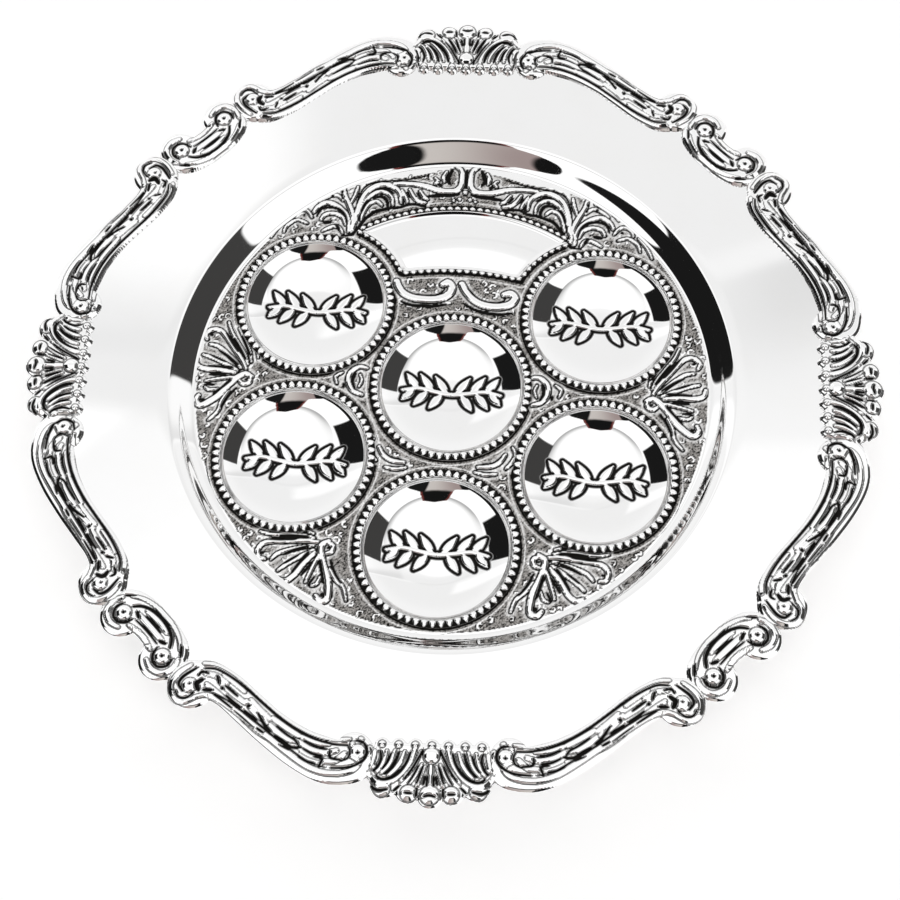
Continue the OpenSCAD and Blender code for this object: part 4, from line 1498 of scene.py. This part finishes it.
    bow_cuts: Rows = (
        (0.5, -27, 51, -22.5, 48.5, -15, 48, -10.3, 48.9, -7.6, 51.4, -7.8, 53.2),
        (0.9, -27.5, 43.8, -24, 42.4, -18, 42.2, -12, 42.4, -6, 43.6),
        (0.5, 3.8, 53, 7, 49.4, 12, 46.7, 18, 46.2, 21.8, 47.6, 22.2, 49.8),
        (0.9, 3, 44.4, 8, 41.6, 14, 40.3, 20, 39.8, 26, 41))
    inner: Rows = (
        (0.7, -52, 4, -55, 1.5, -54, -2), (0.6, -43.5, 3.6, -42.4, 0, -43.6, -3),
        (1.2, -40.6, 7, -44.6, 7.3, -48.2, 4, -48.6, -1, -46, -5.2, -41.6, -7),
        (0.8, -34, -29, -35.6, -33, -34, -37, -31.6, -40),
        (1.1, -31, -33, -28.4, -37, -24, -39.5, -18.6, -40), (0.8, -27.4, -43, -22, -43.6, -17.4, -42.6))
    inner_cuts: Rows = (
        (0.8, -45.6, 4, -46.8, 0, -45.2, -4.3), (0.5, -29, -34.4, -25.4, -37.4, -20.4, -38.3),
        (0.7, -51, -1.6, -50.6, -3.6))

    def distance(self, xy: Points) -> Points:
        """Returns the distance to the plate's outline, negative on the plate."""
        best = np.hypot(xy[:, 0], xy[:, 1]) - self.radius
        for centre in LAYOUT.centres(False).values():
            best = np.maximum(best, -from_disc(xy, centre, self.hole))
        near = (np.abs(xy[:, 0]) < 75) & (xy[:, 1] > 50) & (xy[:, 1] < 105)
        best[near] = np.maximum(best[near], -polygon_distance(xy[near], LAYOUT.pan_outline(self.pan_gap)))
        return best

    def seam_distance(self, xy: Points) -> tuple[Points, Points]:
        """Returns the distance to the nearest cup's rim, and to the wire of the pan."""
        discs = [from_disc(xy, centre, LAYOUT.cup_rim) for centre in LAYOUT.centres(False).values()]
        return np.min(discs, axis=0), polygon_distance(xy, LAYOUT.pan_outline(self.wire_reach))

    def frame_rings(self, relief: Relief) -> None:
        """Draws the dark seams, the matted rings and the thin wires round the cups and the pan."""
        for d, out in zip(self.seam_distance(relief.xy), self.wires):
            relief.tarnish = np.maximum(relief.tarnish, 1 - smooth(d, 0.5, 1.1))
            wire = np.exp(-((d - out) / 0.4) ** 2)
            relief.height += 0.3 * wire
            relief.matting *= 1 - 0.85 * wire
            relief.tarnish *= 1 - 0.7 * wire

    def polish_near(self, relief: Relief, line: Points) -> None:
        """Brightens the ground beside a scroll."""
        reach = 3.0
        near, away, width = relief.measure(line, reach)
        keep = 0.25 + 0.75 * smooth(away - width, 0.5, reach)
        relief.matting[near] *= keep
        relief.tarnish[near] *= keep

    def plain_rim(self, xy: Points) -> Points:
        """Returns 1 on the polished rim, which is wider beyond the crest, and 0 on the chased ground."""
        inward = self.radius - np.hypot(xy[:, 0], xy[:, 1])
        aside = np.abs(xy[:, 0] - self.axis)
        edge = np.interp(aside, self.crest_edge[::2], self.crest_edge[1::2])
        beyond = smooth(xy[:, 1] - edge, 0.2, 0.8) * (aside < 52) * (xy[:, 1] > 90)
        return np.maximum(1 - smooth(inward, self.rim, self.rim + 0.6), beyond)

    def specks(self, relief: Relief) -> None:
        """Scatters small curls and buds over the outer ground."""
        rng = np.random.default_rng(self.speck_seed)
        curl = curve([(1.1, 0), (0.7, 0.7), (-0.1, 0.9), (-0.8, 0.4), (-0.9, -0.3)], 3)
        outermost = 122.0
        r = outermost * np.sqrt(rng.uniform(0.1, 1, self.speck_tries))
        a = rng.uniform(0, math.tau, self.speck_tries)
        tries = np.column_stack([r * np.cos(a), r * np.sin(a)])
        tries = tries[(np.minimum(*self.seam_distance(tries)) > 3.6) & (self.plain_rim(tries) < 0.2)]
        spots = tries[:1]
        for spot in tries[1:]:
            if np.linalg.norm(spots - spot, axis=1).min() > self.speck_gap:
                spots = np.vstack([spots, spot])
        for spot in spots:
            size, turn = rng.uniform(0.8, 1.5), rng.uniform(0, 360)
            width = np.full(len(curl), rng.uniform(0.35, 0.6))
            line = np.column_stack([turned(curl, turn) * size + spot, width])
            relief.stroke(line, self.rise * 0.4, 0.9, 0.55, base=0.0)

    def ornament(self, relief: Relief) -> None:
        """Raises the scrolls and leaves, then cuts their dark lines."""
        def both(rows: Rows, angle: float = 0.0) -> list[Points]:
            """Returns the strokes, turned about the middle, and their mirror images."""
            lines = [turned(drawn(row), angle) for row in rows]
            return lines + [flipped(line, self.axis) for line in lines]

        low = self.lower_turn
        raised = [*both(self.crest), *both(self.palmette), *both(self.palmette, low), *both(self.inner),
                  *[drawn(row, 0.75) for row in self.bows]]
        sunk = [*both(self.crest_cuts), *both(self.palmette_cuts), *both(self.palmette_cuts, low),
                *both(self.inner_cuts), *[drawn(row) for row in self.bow_cuts], drawn(self.crest_middle)]
        for line in raised:
            self.polish_near(relief, line)
        for line in raised:
            relief.stroke(line, self.rise, 1.0, 0.95, base=0.0)
        for line in sunk:
            relief.groove(line, 0.4)
        for x, y, r in self.berries:
            relief.dome((x + self.axis, y), r, self.rise, 1.0, 0.8)

    def ground(self, xy: Points) -> Relief:
        """Returns the plain ground: matted and stained, with a polished rim that has a dark line round it."""
        relief = Relief(xy)
        noise = np.random.default_rng(self.grain_seed).normal(0, 1, len(xy))
        plain = self.plain_rim(xy)
        relief.matting[:] = 1 - plain
        relief.height[:] = self.grain * noise * (1 - plain)
        stain = np.clip(0.15 + 0.34 * noise, 0, 0.9)
        relief.tarnish[:] = stain * (1 - plain) + 0.9 * np.exp(-((plain - 0.5) / 0.3) ** 2)
        return relief

    def build(self) -> bpy.types.Object:
        """Returns the chased floor."""
        half = self.radius + self.cell
        count = round(2 * half / self.cell)
        level = LAYOUT.floor_z
        piece = Bench.sheet("centre_plate_chased", count, count, lambda uv: np.column_stack(
            [(uv * 2 - 1) * half, np.full(len(uv), level)]))
        Bench.trim(piece, self.distance, self.cell)
        xyz = Bench.places(piece)
        relief = self.ground(xyz[:, :2])
        self.frame_rings(relief)
        self.specks(relief)
        self.ornament(relief)
        inward = self.radius - np.hypot(xyz[:, 0], xyz[:, 1])
        seam = np.minimum(*self.seam_distance(xyz[:, :2]))
        xyz[:, 2] += relief.height * smooth(seam, -0.2, 0.5) * smooth(inward, 2.8, 3.4)
        Bench.place(piece, turned(xyz, LAYOUT.disc_turn))
        Bench.coat(piece, Mark.TARNISH, relief.tarnish)
        Bench.coat(piece, Mark.MATTING, relief.matting)
        Bench.close_below(piece, level - self.thickness)
        return Bench.finish(piece, CHASED_FINISH, Slot.CHASED, "centre_plate", self.crease)


# Border mounts


@dataclass
class Mounts:
    """Shells and scrolls of the border, cast in relief and laid on the flange.

    The tables give strokes: a half width, then x and y of each point, with the mount's shell or its own
    middle on +Y. Rolls and leaves stand up, cuts are dark.

    Attributes:
        ground: Height of the ground that the strokes stand on.
        spread: How far the edge lies outside the solid's.
        flank: Slope of the mount behind its edge.
        roll_rise, leaf_rise, shell_rise: Heights of the strokes over the ground.
        cut_depth: Depth of the dark cuts.
        highest: Greatest height over the flange.
    """

    border: Border = field(default_factory=Border)
    ground: float = 1.9
    cell: float = 0.4
    spread: float = 1.0
    flank: float = 0.6
    roll_rise: float = 1.15
    leaf_rise: float = 0.6
    shell_rise: float = 1.0
    cut_depth: float = 0.6
    highest: float = 4.2
    crease: float = 70.0
    long_rolls: Rows = (
        (1.3, 34, 179.8, 30.6, 182.2, 33.5, 185.8, 40, 187.4, 47, 186.9, 54, 184.2, 62, 179, 70, 173.2, 78,
         167.4, 86, 161.8, 93, 157.4, 99, 155.6, 104, 156.8),
        (1.0, 35, 172.4, 41, 172.6, 49, 171.2, 57, 167.8, 65, 162.8, 73, 156.6, 81, 150, 88, 145, 95, 141.8,
         101, 141.4), (1.2, 104, 157.2, 109, 159, 113.6, 156.6, 114.4, 151, 111.4, 146, 106.6, 142.4))
    long_leaves: Rows = (
        (1.3, 37, 178.6, 41, 182, 46.5, 182.4), (1.3, 40.5, 177.6, 46, 178.8, 52, 177.4, 57, 174.4),
        (1.3, 47, 183.6, 53, 182.2, 59, 178.8), (1.2, 44, 175, 50, 174.4, 56, 172.2),
        (1.3, 57.5, 178.9, 63, 177.2, 69.5, 172.8), (1.3, 58, 174.2, 64, 172.4, 70, 167.6),
        (1.2, 57, 171.8, 63, 168.4, 69, 164.6), (1.3, 69, 174, 75, 170.4, 82, 165),
        (1.3, 71.5, 166.6, 77, 162.2, 81, 157.6), (1.2, 70, 165.2, 75, 161, 79, 157),
        (1.3, 81, 165, 87, 160.8, 94, 156.2), (1.2, 81.5, 158.4, 87, 154.6, 93, 149.8),
        (1.3, 88, 159.6, 94, 154.6, 99, 150.8), (1.2, 90, 150, 95, 147, 100, 146),
        (1.0, 82, 153.6, 87, 149.6, 92, 146.4))
    long_cuts: Rows = (
        (0.8, 42.5, 185, 36, 184.6, 31, 182.9, 28, 179.6, 27.7, 176.2, 29.4, 173.6, 32.6, 172.9),
        (0.9, 31.4, 178.2), (0.6, 38.4, 181.8, 35.6, 180.4, 34.8, 177.8, 35.8, 175.4),
        (0.8, 36, 175, 42, 174.8, 49, 173.2, 57, 169.9, 65, 165, 73, 158.8, 81, 152.4, 88, 147.5, 95, 143.9,
         100.5, 143.6),
        (0.5, 45, 184.9, 52, 182.9, 60, 178, 68, 172.4, 76, 166.4, 84, 160.8, 91, 156.6, 96, 154.4),
        (0.8, 38.4, 181.6, 43, 180.6, 43.4, 177.6), (0.8, 47.4, 184, 46.6, 181.2, 50, 180.4),
        (0.7, 49.5, 183.4, 53, 182.6, 56.6, 180.8), (0.7, 45, 177, 50, 175.8, 54.5, 173.8),
        (0.7, 46.6, 180, 51, 179.2, 55, 177.2), (0.9, 56, 176.6, 60, 176.8, 64, 174.2, 67.6, 172),
        (0.7, 57, 176, 58.6, 173.8, 62.4, 171.4, 67, 168), (0.6, 61, 178, 65, 176.2),
        (0.9, 69.5, 170.2, 72, 168, 75.6, 162.6), (0.8, 72.4, 171.2, 75.4, 169.4),
        (0.8, 76, 165.6, 79, 163.6, 81.6, 161.6), (0.5, 77, 169, 82, 165, 85.5, 162.4), (1.1, 79.8, 159.6),
        (0.9, 83.5, 160.2, 86.4, 158.4, 90, 155.4), (0.7, 87, 161, 92, 157.4, 95.5, 155.2),
        (0.8, 85, 155.6, 88, 153.2, 90.8, 151.1), (1.0, 92, 152.2), (0.8, 93.8, 150.2, 94.6, 146.8),
        (1.0, 96.4, 153.2, 100.4, 153.2), (1.4, 102.4, 153.4, 103.4, 150.6, 101, 148.6),
        (0.6, 104.6, 154.8, 107.8, 157, 111, 156.4, 112.6, 153.6),
        (0.9, 109.3, 154, 111.3, 151, 110, 148, 107.4, 145.8, 104, 143.5),
        (0.8, 98.6, 146, 101.6, 145.2, 103, 147), (0.7, 106.4, 150.8))
    short_rolls: Rows = (
        (1.2, -7.6, 185, 0, 183.6, 7.6, 185),
        (1.0, -17, 175.6, -12, 172.4, -6, 170.7, 0, 170.3, 6, 170.7, 12, 172.4, 17, 175.6),
        (1.3, -10, 189, -14.6, 190.2, -19.4, 188, -21, 183, -19.6, 178.8),
        (1.3, 10, 189, 14.6, 190.2, 19.4, 188, 21, 183, 19.6, 178.8))
    short_leaves: Rows = ((1.2, -8, 178.6, 0, 178.6, 8, 178.6), (1.1, -7, 174.8, 0, 174.2, 7, 174.8))
    short_cuts: Rows = (
        (0.7, -7.4, 181.2, 0, 180.7, 7.4, 181.2), (0.8, -4.6, 176.8, 0, 176.3, 5.4, 176.6),
        (1.1, -13, 178.2, -10, 174.9, -5, 172.8, 0, 172.3, 5, 172.8, 10, 174.9, 13, 178.2),
        (0.8, -17.4, 180.4, -18.2, 184, -16, 187.2, -12.6, 187.6, -9.8, 185.4, -8.8, 182),
        (1.0, -13.6, 183), (1.1, -10, 178.4, -7.4, 179.6),
        (0.8, 17.4, 180.4, 18.2, 184, 16, 187.2, 12.6, 187.6, 9.8, 185.4, 8.8, 182), (1.0, 13.6, 183),
        (1.1, 10, 178.4, 7.4, 179.6), (0.8, -19.4, 177.4, -16, 174), (0.8, 19.4, 177.4, 16, 174))
    shell_rolls: Rows = (
        (0.8, 4.4, 176.4, 6.2, 181, 9, 185.4, 12.6, 189.6), (0.8, 2.4, 183, 4, 187, 5.6, 191.4),
        (0.8, 3.8, 182, 6.2, 186.4, 8.8, 190.4), (0.9, 11.4, 176.8, 12.6, 180.6, 15, 184.4, 18, 187.6),
        (0.9, 15.6, 176.6, 16.6, 180, 18.6, 183.6, 21, 186.4),
        (0.9, 19, 176.8, 19.6, 180, 21, 183.6, 23, 186), (0.9, 24.2, 177, 24.4, 180.4, 25.4, 183.6),
        (1.3, 7, 175.6, 8.2, 179.4, 11, 184, 15, 188.4, 19.6, 190.6, 24, 189.8, 26.6, 186.6))
    shell_cuts: Rows = (
        (0.7, 3.6, 175.6, 5.4, 179.4, 8, 184.2, 11, 188.4),
        (1.0, 9, 177, 10.2, 181, 13, 185.4, 16.6, 188.2, 20.4, 189, 23, 187.6),
        (0.8, 13.8, 176.8, 14.8, 180.4, 16.8, 184, 19.4, 186.6),
        (0.7, 17.3, 177.8, 18.5, 181.5, 20.6, 184.6),
        (0.8, 22, 176.6, 21.4, 179.8, 22.6, 183.6, 24.4, 185.6), (0.7, 26.4, 178.6, 26.4, 182, 27, 184.4),
        (0.8, 3, 190.6, 2.2, 187), (0.7, 5.6, 190, 4.4, 186.2, 3.4, 183),
        (0.7, 9.2, 190.2, 7, 186.4, 5.2, 182.6), (0.8, 13, 191.4, 15.4, 193.6), (0.7, 5.4, 192.6, 6, 195.6),
        (0.9, 18, 193.2, 22, 193.8, 25, 192), (0.8, 7.6, 194.6, 10.6, 194.4))

    def cast(self, name: str, low: Sequence[float], high: Sequence[float],
             distance: Callable[[Points], Points], strokes: Sequence[tuple[Sequence[Points], float, float]],
             cuts: Sequence[Points], domes: Rows) -> bpy.types.Object:
        """Returns a mount with a rounded edge, raised strokes and dark cuts.

        Args:
            name: Name of the mesh.
            low, high: Corners of the area that holds it.
            distance: Distance to its outline, negative inside.
            strokes: Lines, the level that they stand on and their rise.
            cuts: Lines that are cut in last.
            domes: Place, radius and rise of round bosses.
        """
        low, high = np.array(low, float), np.array(high, float)
        cells = np.round((high - low) / self.cell).astype(int)
        piece = Bench.sheet(name, int(cells[0]), int(cells[1]), lambda uv: np.column_stack(
            [low + uv * (high - low), np.zeros(len(uv))]))
        Bench.trim(piece, lambda p: distance(p) - self.spread, self.cell)
        xyz = Bench.places(piece)
        relief = Relief(xyz[:, :2])
        inside = self.spread - distance(xyz[:, :2])
        edge = 0.3 + 1.2 * smooth(inside, 0, 0.5) + self.flank * np.clip(inside - 0.3, 0, 4)
        relief.height = np.minimum(edge, self.ground + 0.4)
        relief.tarnish[:] = 0.05 * smooth(inside, 1.5, 3.0)
        for lines, base, rise in strokes:
            for line in lines:
                relief.stroke(line, rise, 0.85, 0.5, base=base)
        for x, y, radius, rise in domes:
            relief.dome((x, y), radius, rise, 0.9, 0.5, self.ground + 0.3)
        relief.height = np.minimum(relief.height, edge)
        for line in cuts:
            relief.groove(line * [1, 1, 0.8], self.cut_depth)
        xyz[:, 2] = LAYOUT.flange_z + np.clip(relief.height, 0.3, self.highest)
        Bench.place(piece, xyz)
        Bench.coat(piece, Mark.TARNISH, relief.tarnish)
        Bench.close_below(piece, LAYOUT.flange_z)
        return piece

    def scroll(self, name: str, low: Sequence[float], high: Sequence[float], band: tuple[Rows, Rows],
               tables: tuple[Rows, Rows, Rows], taper: float, domes: Rows) -> bpy.types.Object:
        """Returns a scroll mount.

        Args:
            name: Name of the mesh.
            low, high: Corners of the area that holds it.
            band: Its middle line and its volutes, from the border.
            tables: Its leaves, its rolls and its cuts.
            taper: Share of its width that a leaf keeps at its ends.
            domes: Place, radius and rise of round bosses.
        """
        line = self.border.line(band[0], 10)
        leaves, rolls, cuts = tables
        return self.cast(
            name, low, high, lambda p: self.border.band_distance(p, line, band[1]),
            [([drawn(row, taper) for row in leaves], self.ground + 0.3, self.leaf_rise),
             ([drawn(row, 0.6) for row in rolls], self.ground + 0.2, self.roll_rise)],
            [drawn(row) for row in cuts], domes)

    def long_mount(self) -> bpy.types.Object:
        """Returns the long scroll on the right of the shell on +Y."""
        return self.scroll(
            "long_scroll_pattern", (22, 134), (118, 198), (self.border.long_line, self.border.long_volutes),
            (self.long_leaves, self.long_rolls, self.long_cuts), 0.7,
            [(31.4, 177.6, 3.2, 1.0), (30.4, 172.4, 1.3, 1.0), (26.4, 176, 1.3, 0.9),
             (106.4, 151.4, 3.4, 1.0), (34, 174.6, 1.2, 0.8)])

    def short_mount(self) -> bpy.types.Object:
        """Returns the short scroll whose middle is on +Y."""
        return self.scroll(
            "short_scroll_pattern", (-25, 164), (25, 198),
            (self.border.short_line, self.border.short_volutes),
            (self.short_leaves, self.short_rolls, self.short_cuts), 0.8,
            [(-13.6, 183, 3.6, 1.2), (13.6, 183, 3.6, 1.2)])

    def shell(self) -> bpy.types.Object:
        """Returns the shell whose middle is on +Y."""
        rolls = [drawn(row, 0.7) for row in self.shell_rolls]
        cuts = [drawn(row) for row in self.shell_cuts]
        bead_y = LAYOUT.border_r - self.border.shell_depth + 0.9
        beads = [(x, bead_y, 1.6, 1.0) for x in self.border.bead_places()]
        side_domes = ((9, 194.6, 3.6, 1.0), (20.4, 192.6, 3.8, 0.9), (25.2, 183, 2.0, 0.8))
        domes = [(side * x, y, r, h) for side in (-1, 1) for x, y, r, h in side_domes]
        middle_roll = drawn((1.3, 0, 181, 0, 186, 0, 191), 0.5)
        middle_cuts = [drawn(row) for row in (
            (0.8, -2.4, 195.8, 0, 195.2, 2.4, 195.8), (0.7, 1.6, 191, 1.2, 187), (0.7, -1.6, 191, -1.2, 187))]
        return self.cast(
            "shell_pattern", (-30, 170), (30, 203), self.border.shell_distance,
            [([*rolls, *map(flipped, rolls), middle_roll], self.ground + 0.3, self.shell_rise)],
            [*cuts, *map(flipped, cuts), *middle_cuts],
            [*domes, (0, 195, 4.2, 1.2), (0, 178.4, 3.6, 1.7), *beads])

    def build(self) -> list[bpy.types.Object]:
        """Returns all mounts of the border."""
        long_mount, short_mount, shell = self.long_mount(), self.short_mount(), self.shell()
        made = []

        def lay(pattern: bpy.types.Object, name: str, node: str, turn: float, mirrored: bool = False) -> None:
            """Lays a copy of a pattern at its place on the border."""
            piece = Bench.copy(pattern, name, lambda p: turned(flipped(p) if mirrored else p, turn), mirrored)
            made.append(Bench.finish(piece, BORDER_FINISH, Slot.BORDER, node, self.crease))

        for k in range(4):
            turn, number = 90.0 * k, k + 1
            lay(shell, f"shell_mount_{number}", f"border_shell_{number}", turn)
            lay(short_mount, f"short_scroll_mount_{number}", f"border_short_scroll_{number}", turn + 45)
            for side in Side:
                number = 2 * k + side.value
                lay(long_mount, f"long_scroll_mount_{number}", f"border_long_scroll_{number}", turn,
                    side is Side.LEFT)
        for pattern in (long_mount, short_mount, shell):
            bpy.data.objects.remove(pattern)
        return made


# Studio


class Tent:
    """The light round the tray by direction: x east, y north and z up, each between -1 and 1.

    To the north hangs a pale sweep, overhead is a round soft box, to the east and the west are dark
    openings, and to the south the white tent has a gap for the camera, with a pale drape in the dark behind
    it. Each part is a method, in which step(a, b) starts or ends something between the limits a and b.

    Attributes:
        sweep_from: Limits in y between the tent and the sweep.
        seam: Height of the sweep's seam in y, and its slopes in x everywhere and on the right.
        box_middle: x and y of the soft box.
        camera_from: Limits of the gap for the camera, to the south.
    """

    sweep_from: tuple[float, float] = (0.388, 0.402)
    seam: tuple[float, float, float] = (0.456, 0.12, 0.13)
    box_middle: tuple[float, float] = (0.03, 0.08)
    camera_from: tuple[float, float] = (0.13, 0.14)

    def __init__(self) -> None:
        """Starts an empty world."""
        world = bpy.data.worlds.new("white_tent")
        bpy.context.scene.world = world
        world.use_nodes = True
        self.graph = Graph(world.node_tree)
        self.place = self.graph.add("ShaderNodeTexCoord").outputs["Generated"]
        self.x, self.y, self.z = self.graph.axes(self.place)

    def sweep(self) -> Value:
        """Returns the level of the pale sweep, with a line at its seam, a paler and a duskier patch."""
        x, y = self.x, self.y
        height, slope, more = self.seam
        over = y - x * slope - x.math("MAXIMUM", x, 0.0) * more - height
        line = (over - 0.004).absolute().step(0.012, 0.002) * (x.step(0.0, 0.1) * 0.1 - 0.04)
        pale = x.step(-0.11, -0.16) * y.step(0.44, 0.48) * y.step(0.6, 0.54)
        dusk = x.step(0.09, 0.16) * over.step(0.0, -0.006) * over.step(-0.1, -0.01)
        plain = 0.93 + self.z.step(0.8, 0.4) * 0.05 + line
        return plain + over.step(-0.02, -0.07) * 0.07 - dusk * 0.13 + pale * 0.16

    def soft_box(self) -> Value:
        """Returns the level overhead: a round box, dimmer towards its edge, in the bright tent."""
        x, y = (axis - at for axis, at in zip((self.x, self.y), self.box_middle))
        square = x * x + y * y
        away = square.math("SQRT", square)
        shaded = (x * 0.2 - y).step(-0.22, 0.12)
        ring = away.step(0.26, 0.41) * away.step(0.412, 0.402)
        return 1.14 - ring * (shaded * 0.62 + 0.1) * self.z.step(0.0, 0.1)

    def openings(self, tent: bpy.types.NodeSocket) -> bpy.types.NodeSocket:
        """Returns the tent with the dark openings to the east and the west."""
        x, y = self.x, self.y
        wide = x.absolute()
        above = (y - x.step(0.0, 0.1) * 0.045).step(0.395, 0.38)
        opening = wide.step(0.405, 0.43) * above * (y + wide * 0.66).step(0.31, 0.335)
        dark = self.graph.blend(x.step(-0.05, 0.05), grey(0.01), grey(0.05, 0.02))
        return self.graph.blend(opening, tent, dark)

    def camera_gap(self, tent: bpy.types.NodeSocket) -> bpy.types.NodeSocket:
        """Returns the tent with the gap to the south, the drape behind it and the dark corners beside it."""
        x, graph = self.x, self.graph
        wave = graph.noise(self.place, 9.0, 2.0) * 0.05 - 0.025
        wide = x.absolute() + wave
        south = 0 - self.y + wave
        reach = (south - 0.13) * 1.9
        reach = reach.math("MINIMUM", reach, 0.12 + (south - 0.2) * 0.33)
        reach = reach + x.step(0.0, -0.1) * south.step(0.6, 0.8) * 0.26
        gap = (reach - wide).step(-0.006, 0.006) * south.step(*self.camera_from)
        edging = x.step(-0.3, -0.2) * (wide - reach * 0.86).step(-0.01, 0.01)
        behind = graph.blend(edging, grey(0.008), (0.16, 0.035, 0.03, 1))
        drape = graph.blend(x.step(-0.35, 0.12), (0.36, 0.29, 0.28, 1), (0.6, 0.56, 0.53, 1))
        hung = x.step(-0.41, -0.37) * x.step(0.17, 0.13) * south.step(0.47, 0.6)
        tent = graph.blend(gap, tent, graph.blend(hung, behind, drape))
        corner = x.step(0.17, 0.21) * (south - x * 0.95).step(0.305, 0.335)
        hem = x.step(-0.45, -0.55) * (self.z + x * 0.265).step(0.222, 0.202) * self.y.step(0.1, 0.0)
        return graph.blend((corner + hem).clamped(), tent, grey(0.01))

    def build(self) -> None:
        """Puts the parts together. The camera itself sees plain white in place of the tent."""
        graph = self.graph
        overhead, sweep = graph.grey(self.soft_box()), graph.grey(self.sweep())
        tent = graph.blend(self.y.step(*self.sweep_from), overhead, sweep)
        tent = self.camera_gap(self.openings(tent))
        seen = graph.value(graph.add("ShaderNodeLightPath").outputs["Is Camera Ray"])
        shown = graph.blend(seen, tent, grey(1.0))
        light = graph.add("ShaderNodeBackground", None, {"Color": shown, "Strength": 1.0})
        graph.add("ShaderNodeOutputWorld", None, {"Surface": light.outputs[0]})


@dataclass
class Studio:
    """Pale floor, white tent and the camera. All light comes from the tent.

    Attributes:
        lens: Focal length on a 36 mm sensor.
        azimuth, elevation, roll, distance: Place of the camera round its target, in degrees and millimetres.
        target: Point that the camera looks at.
        glow: Light that the floor gives of its own where it is seen, so that it shows white.
    """

    lens: float = 67.6
    azimuth: float = 6.11
    elevation: float = 66.9
    roll: float = -3.82
    distance: float = 784.7
    target: tuple[float, float, float] = (0.989, -32.315, 13.8)
    glow: float = 0.46

    def camera(self) -> bpy.types.Object:
        """Adds the camera at the photograph's place."""
        az, el, roll = (math.radians(v) for v in (self.azimuth, self.elevation, self.roll))
        back = Vector((math.sin(az) * math.cos(el), -math.cos(az) * math.cos(el), math.sin(el)))
        right = (-back).cross(Vector((0, 0, 1))).normalized()
        up = right.cross(-back)
        r = right * math.cos(roll) + up * math.sin(roll)
        u = up * math.cos(roll) - right * math.sin(roll)
        place = (Vector(self.target) + back * self.distance) * MM
        bpy.ops.object.camera_add(location=place)
        camera = bpy.context.object
        camera.name = "photo_camera"
        camera.data.lens = self.lens
        camera.data.clip_end = 50.0
        camera.matrix_world = Matrix.Translation(place) @ Matrix((r, u, back)).transposed().to_4x4()
        bpy.context.scene.camera = camera
        return camera

    def floor(self) -> None:
        """Adds the pale floor, which shows white with the tray's soft shadow."""
        bpy.ops.mesh.primitive_plane_add(size=12.0, location=(0, 0, 0))
        floor = Bench.named("studio_floor")
        material = bpy.data.materials.new("pale_paper")
        material.use_nodes = True
        graph = Graph(material.node_tree)
        path = graph.add("ShaderNodeLightPath").outputs
        seen = (graph.value(path["Is Camera Ray"]) + graph.value(path["Is Glossy Ray"])
                + graph.value(path["Is Transmission Ray"])).clamped()
        glow = graph.add("ShaderNodeEmission", None, {"Color": grey(1.0), "Strength": seen * self.glow})
        paper = graph.add("ShaderNodeBsdfDiffuse", None, {"Color": grey(0.8, 0.004)})
        both = graph.add("ShaderNodeAddShader", None, {0: glow.outputs[0], 1: paper.outputs[0]})
        graph.add("ShaderNodeOutputMaterial", None, {"Surface": both.outputs[0]})
        floor.data.materials.append(material)

    def build(self) -> None:
        """Adds the whole studio."""
        bpy.context.scene.view_settings.view_transform = "Standard"
        self.floor()
        Tent().build()
        self.camera()


def main() -> None:
    """Builds the looks of the tray."""
    logging.basicConfig(level=logging.INFO, format="%(message)s")
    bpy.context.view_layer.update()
    Studio().build()
    pan = CrescentPan()
    TrayBody().build()
    FootRing().build()
    CentrePlate().build()
    pan.pan()
    pan.beading()
    Cups().build()
    Collars().build()
    Mounts().build()


if __name__ == "__main__":
    main()
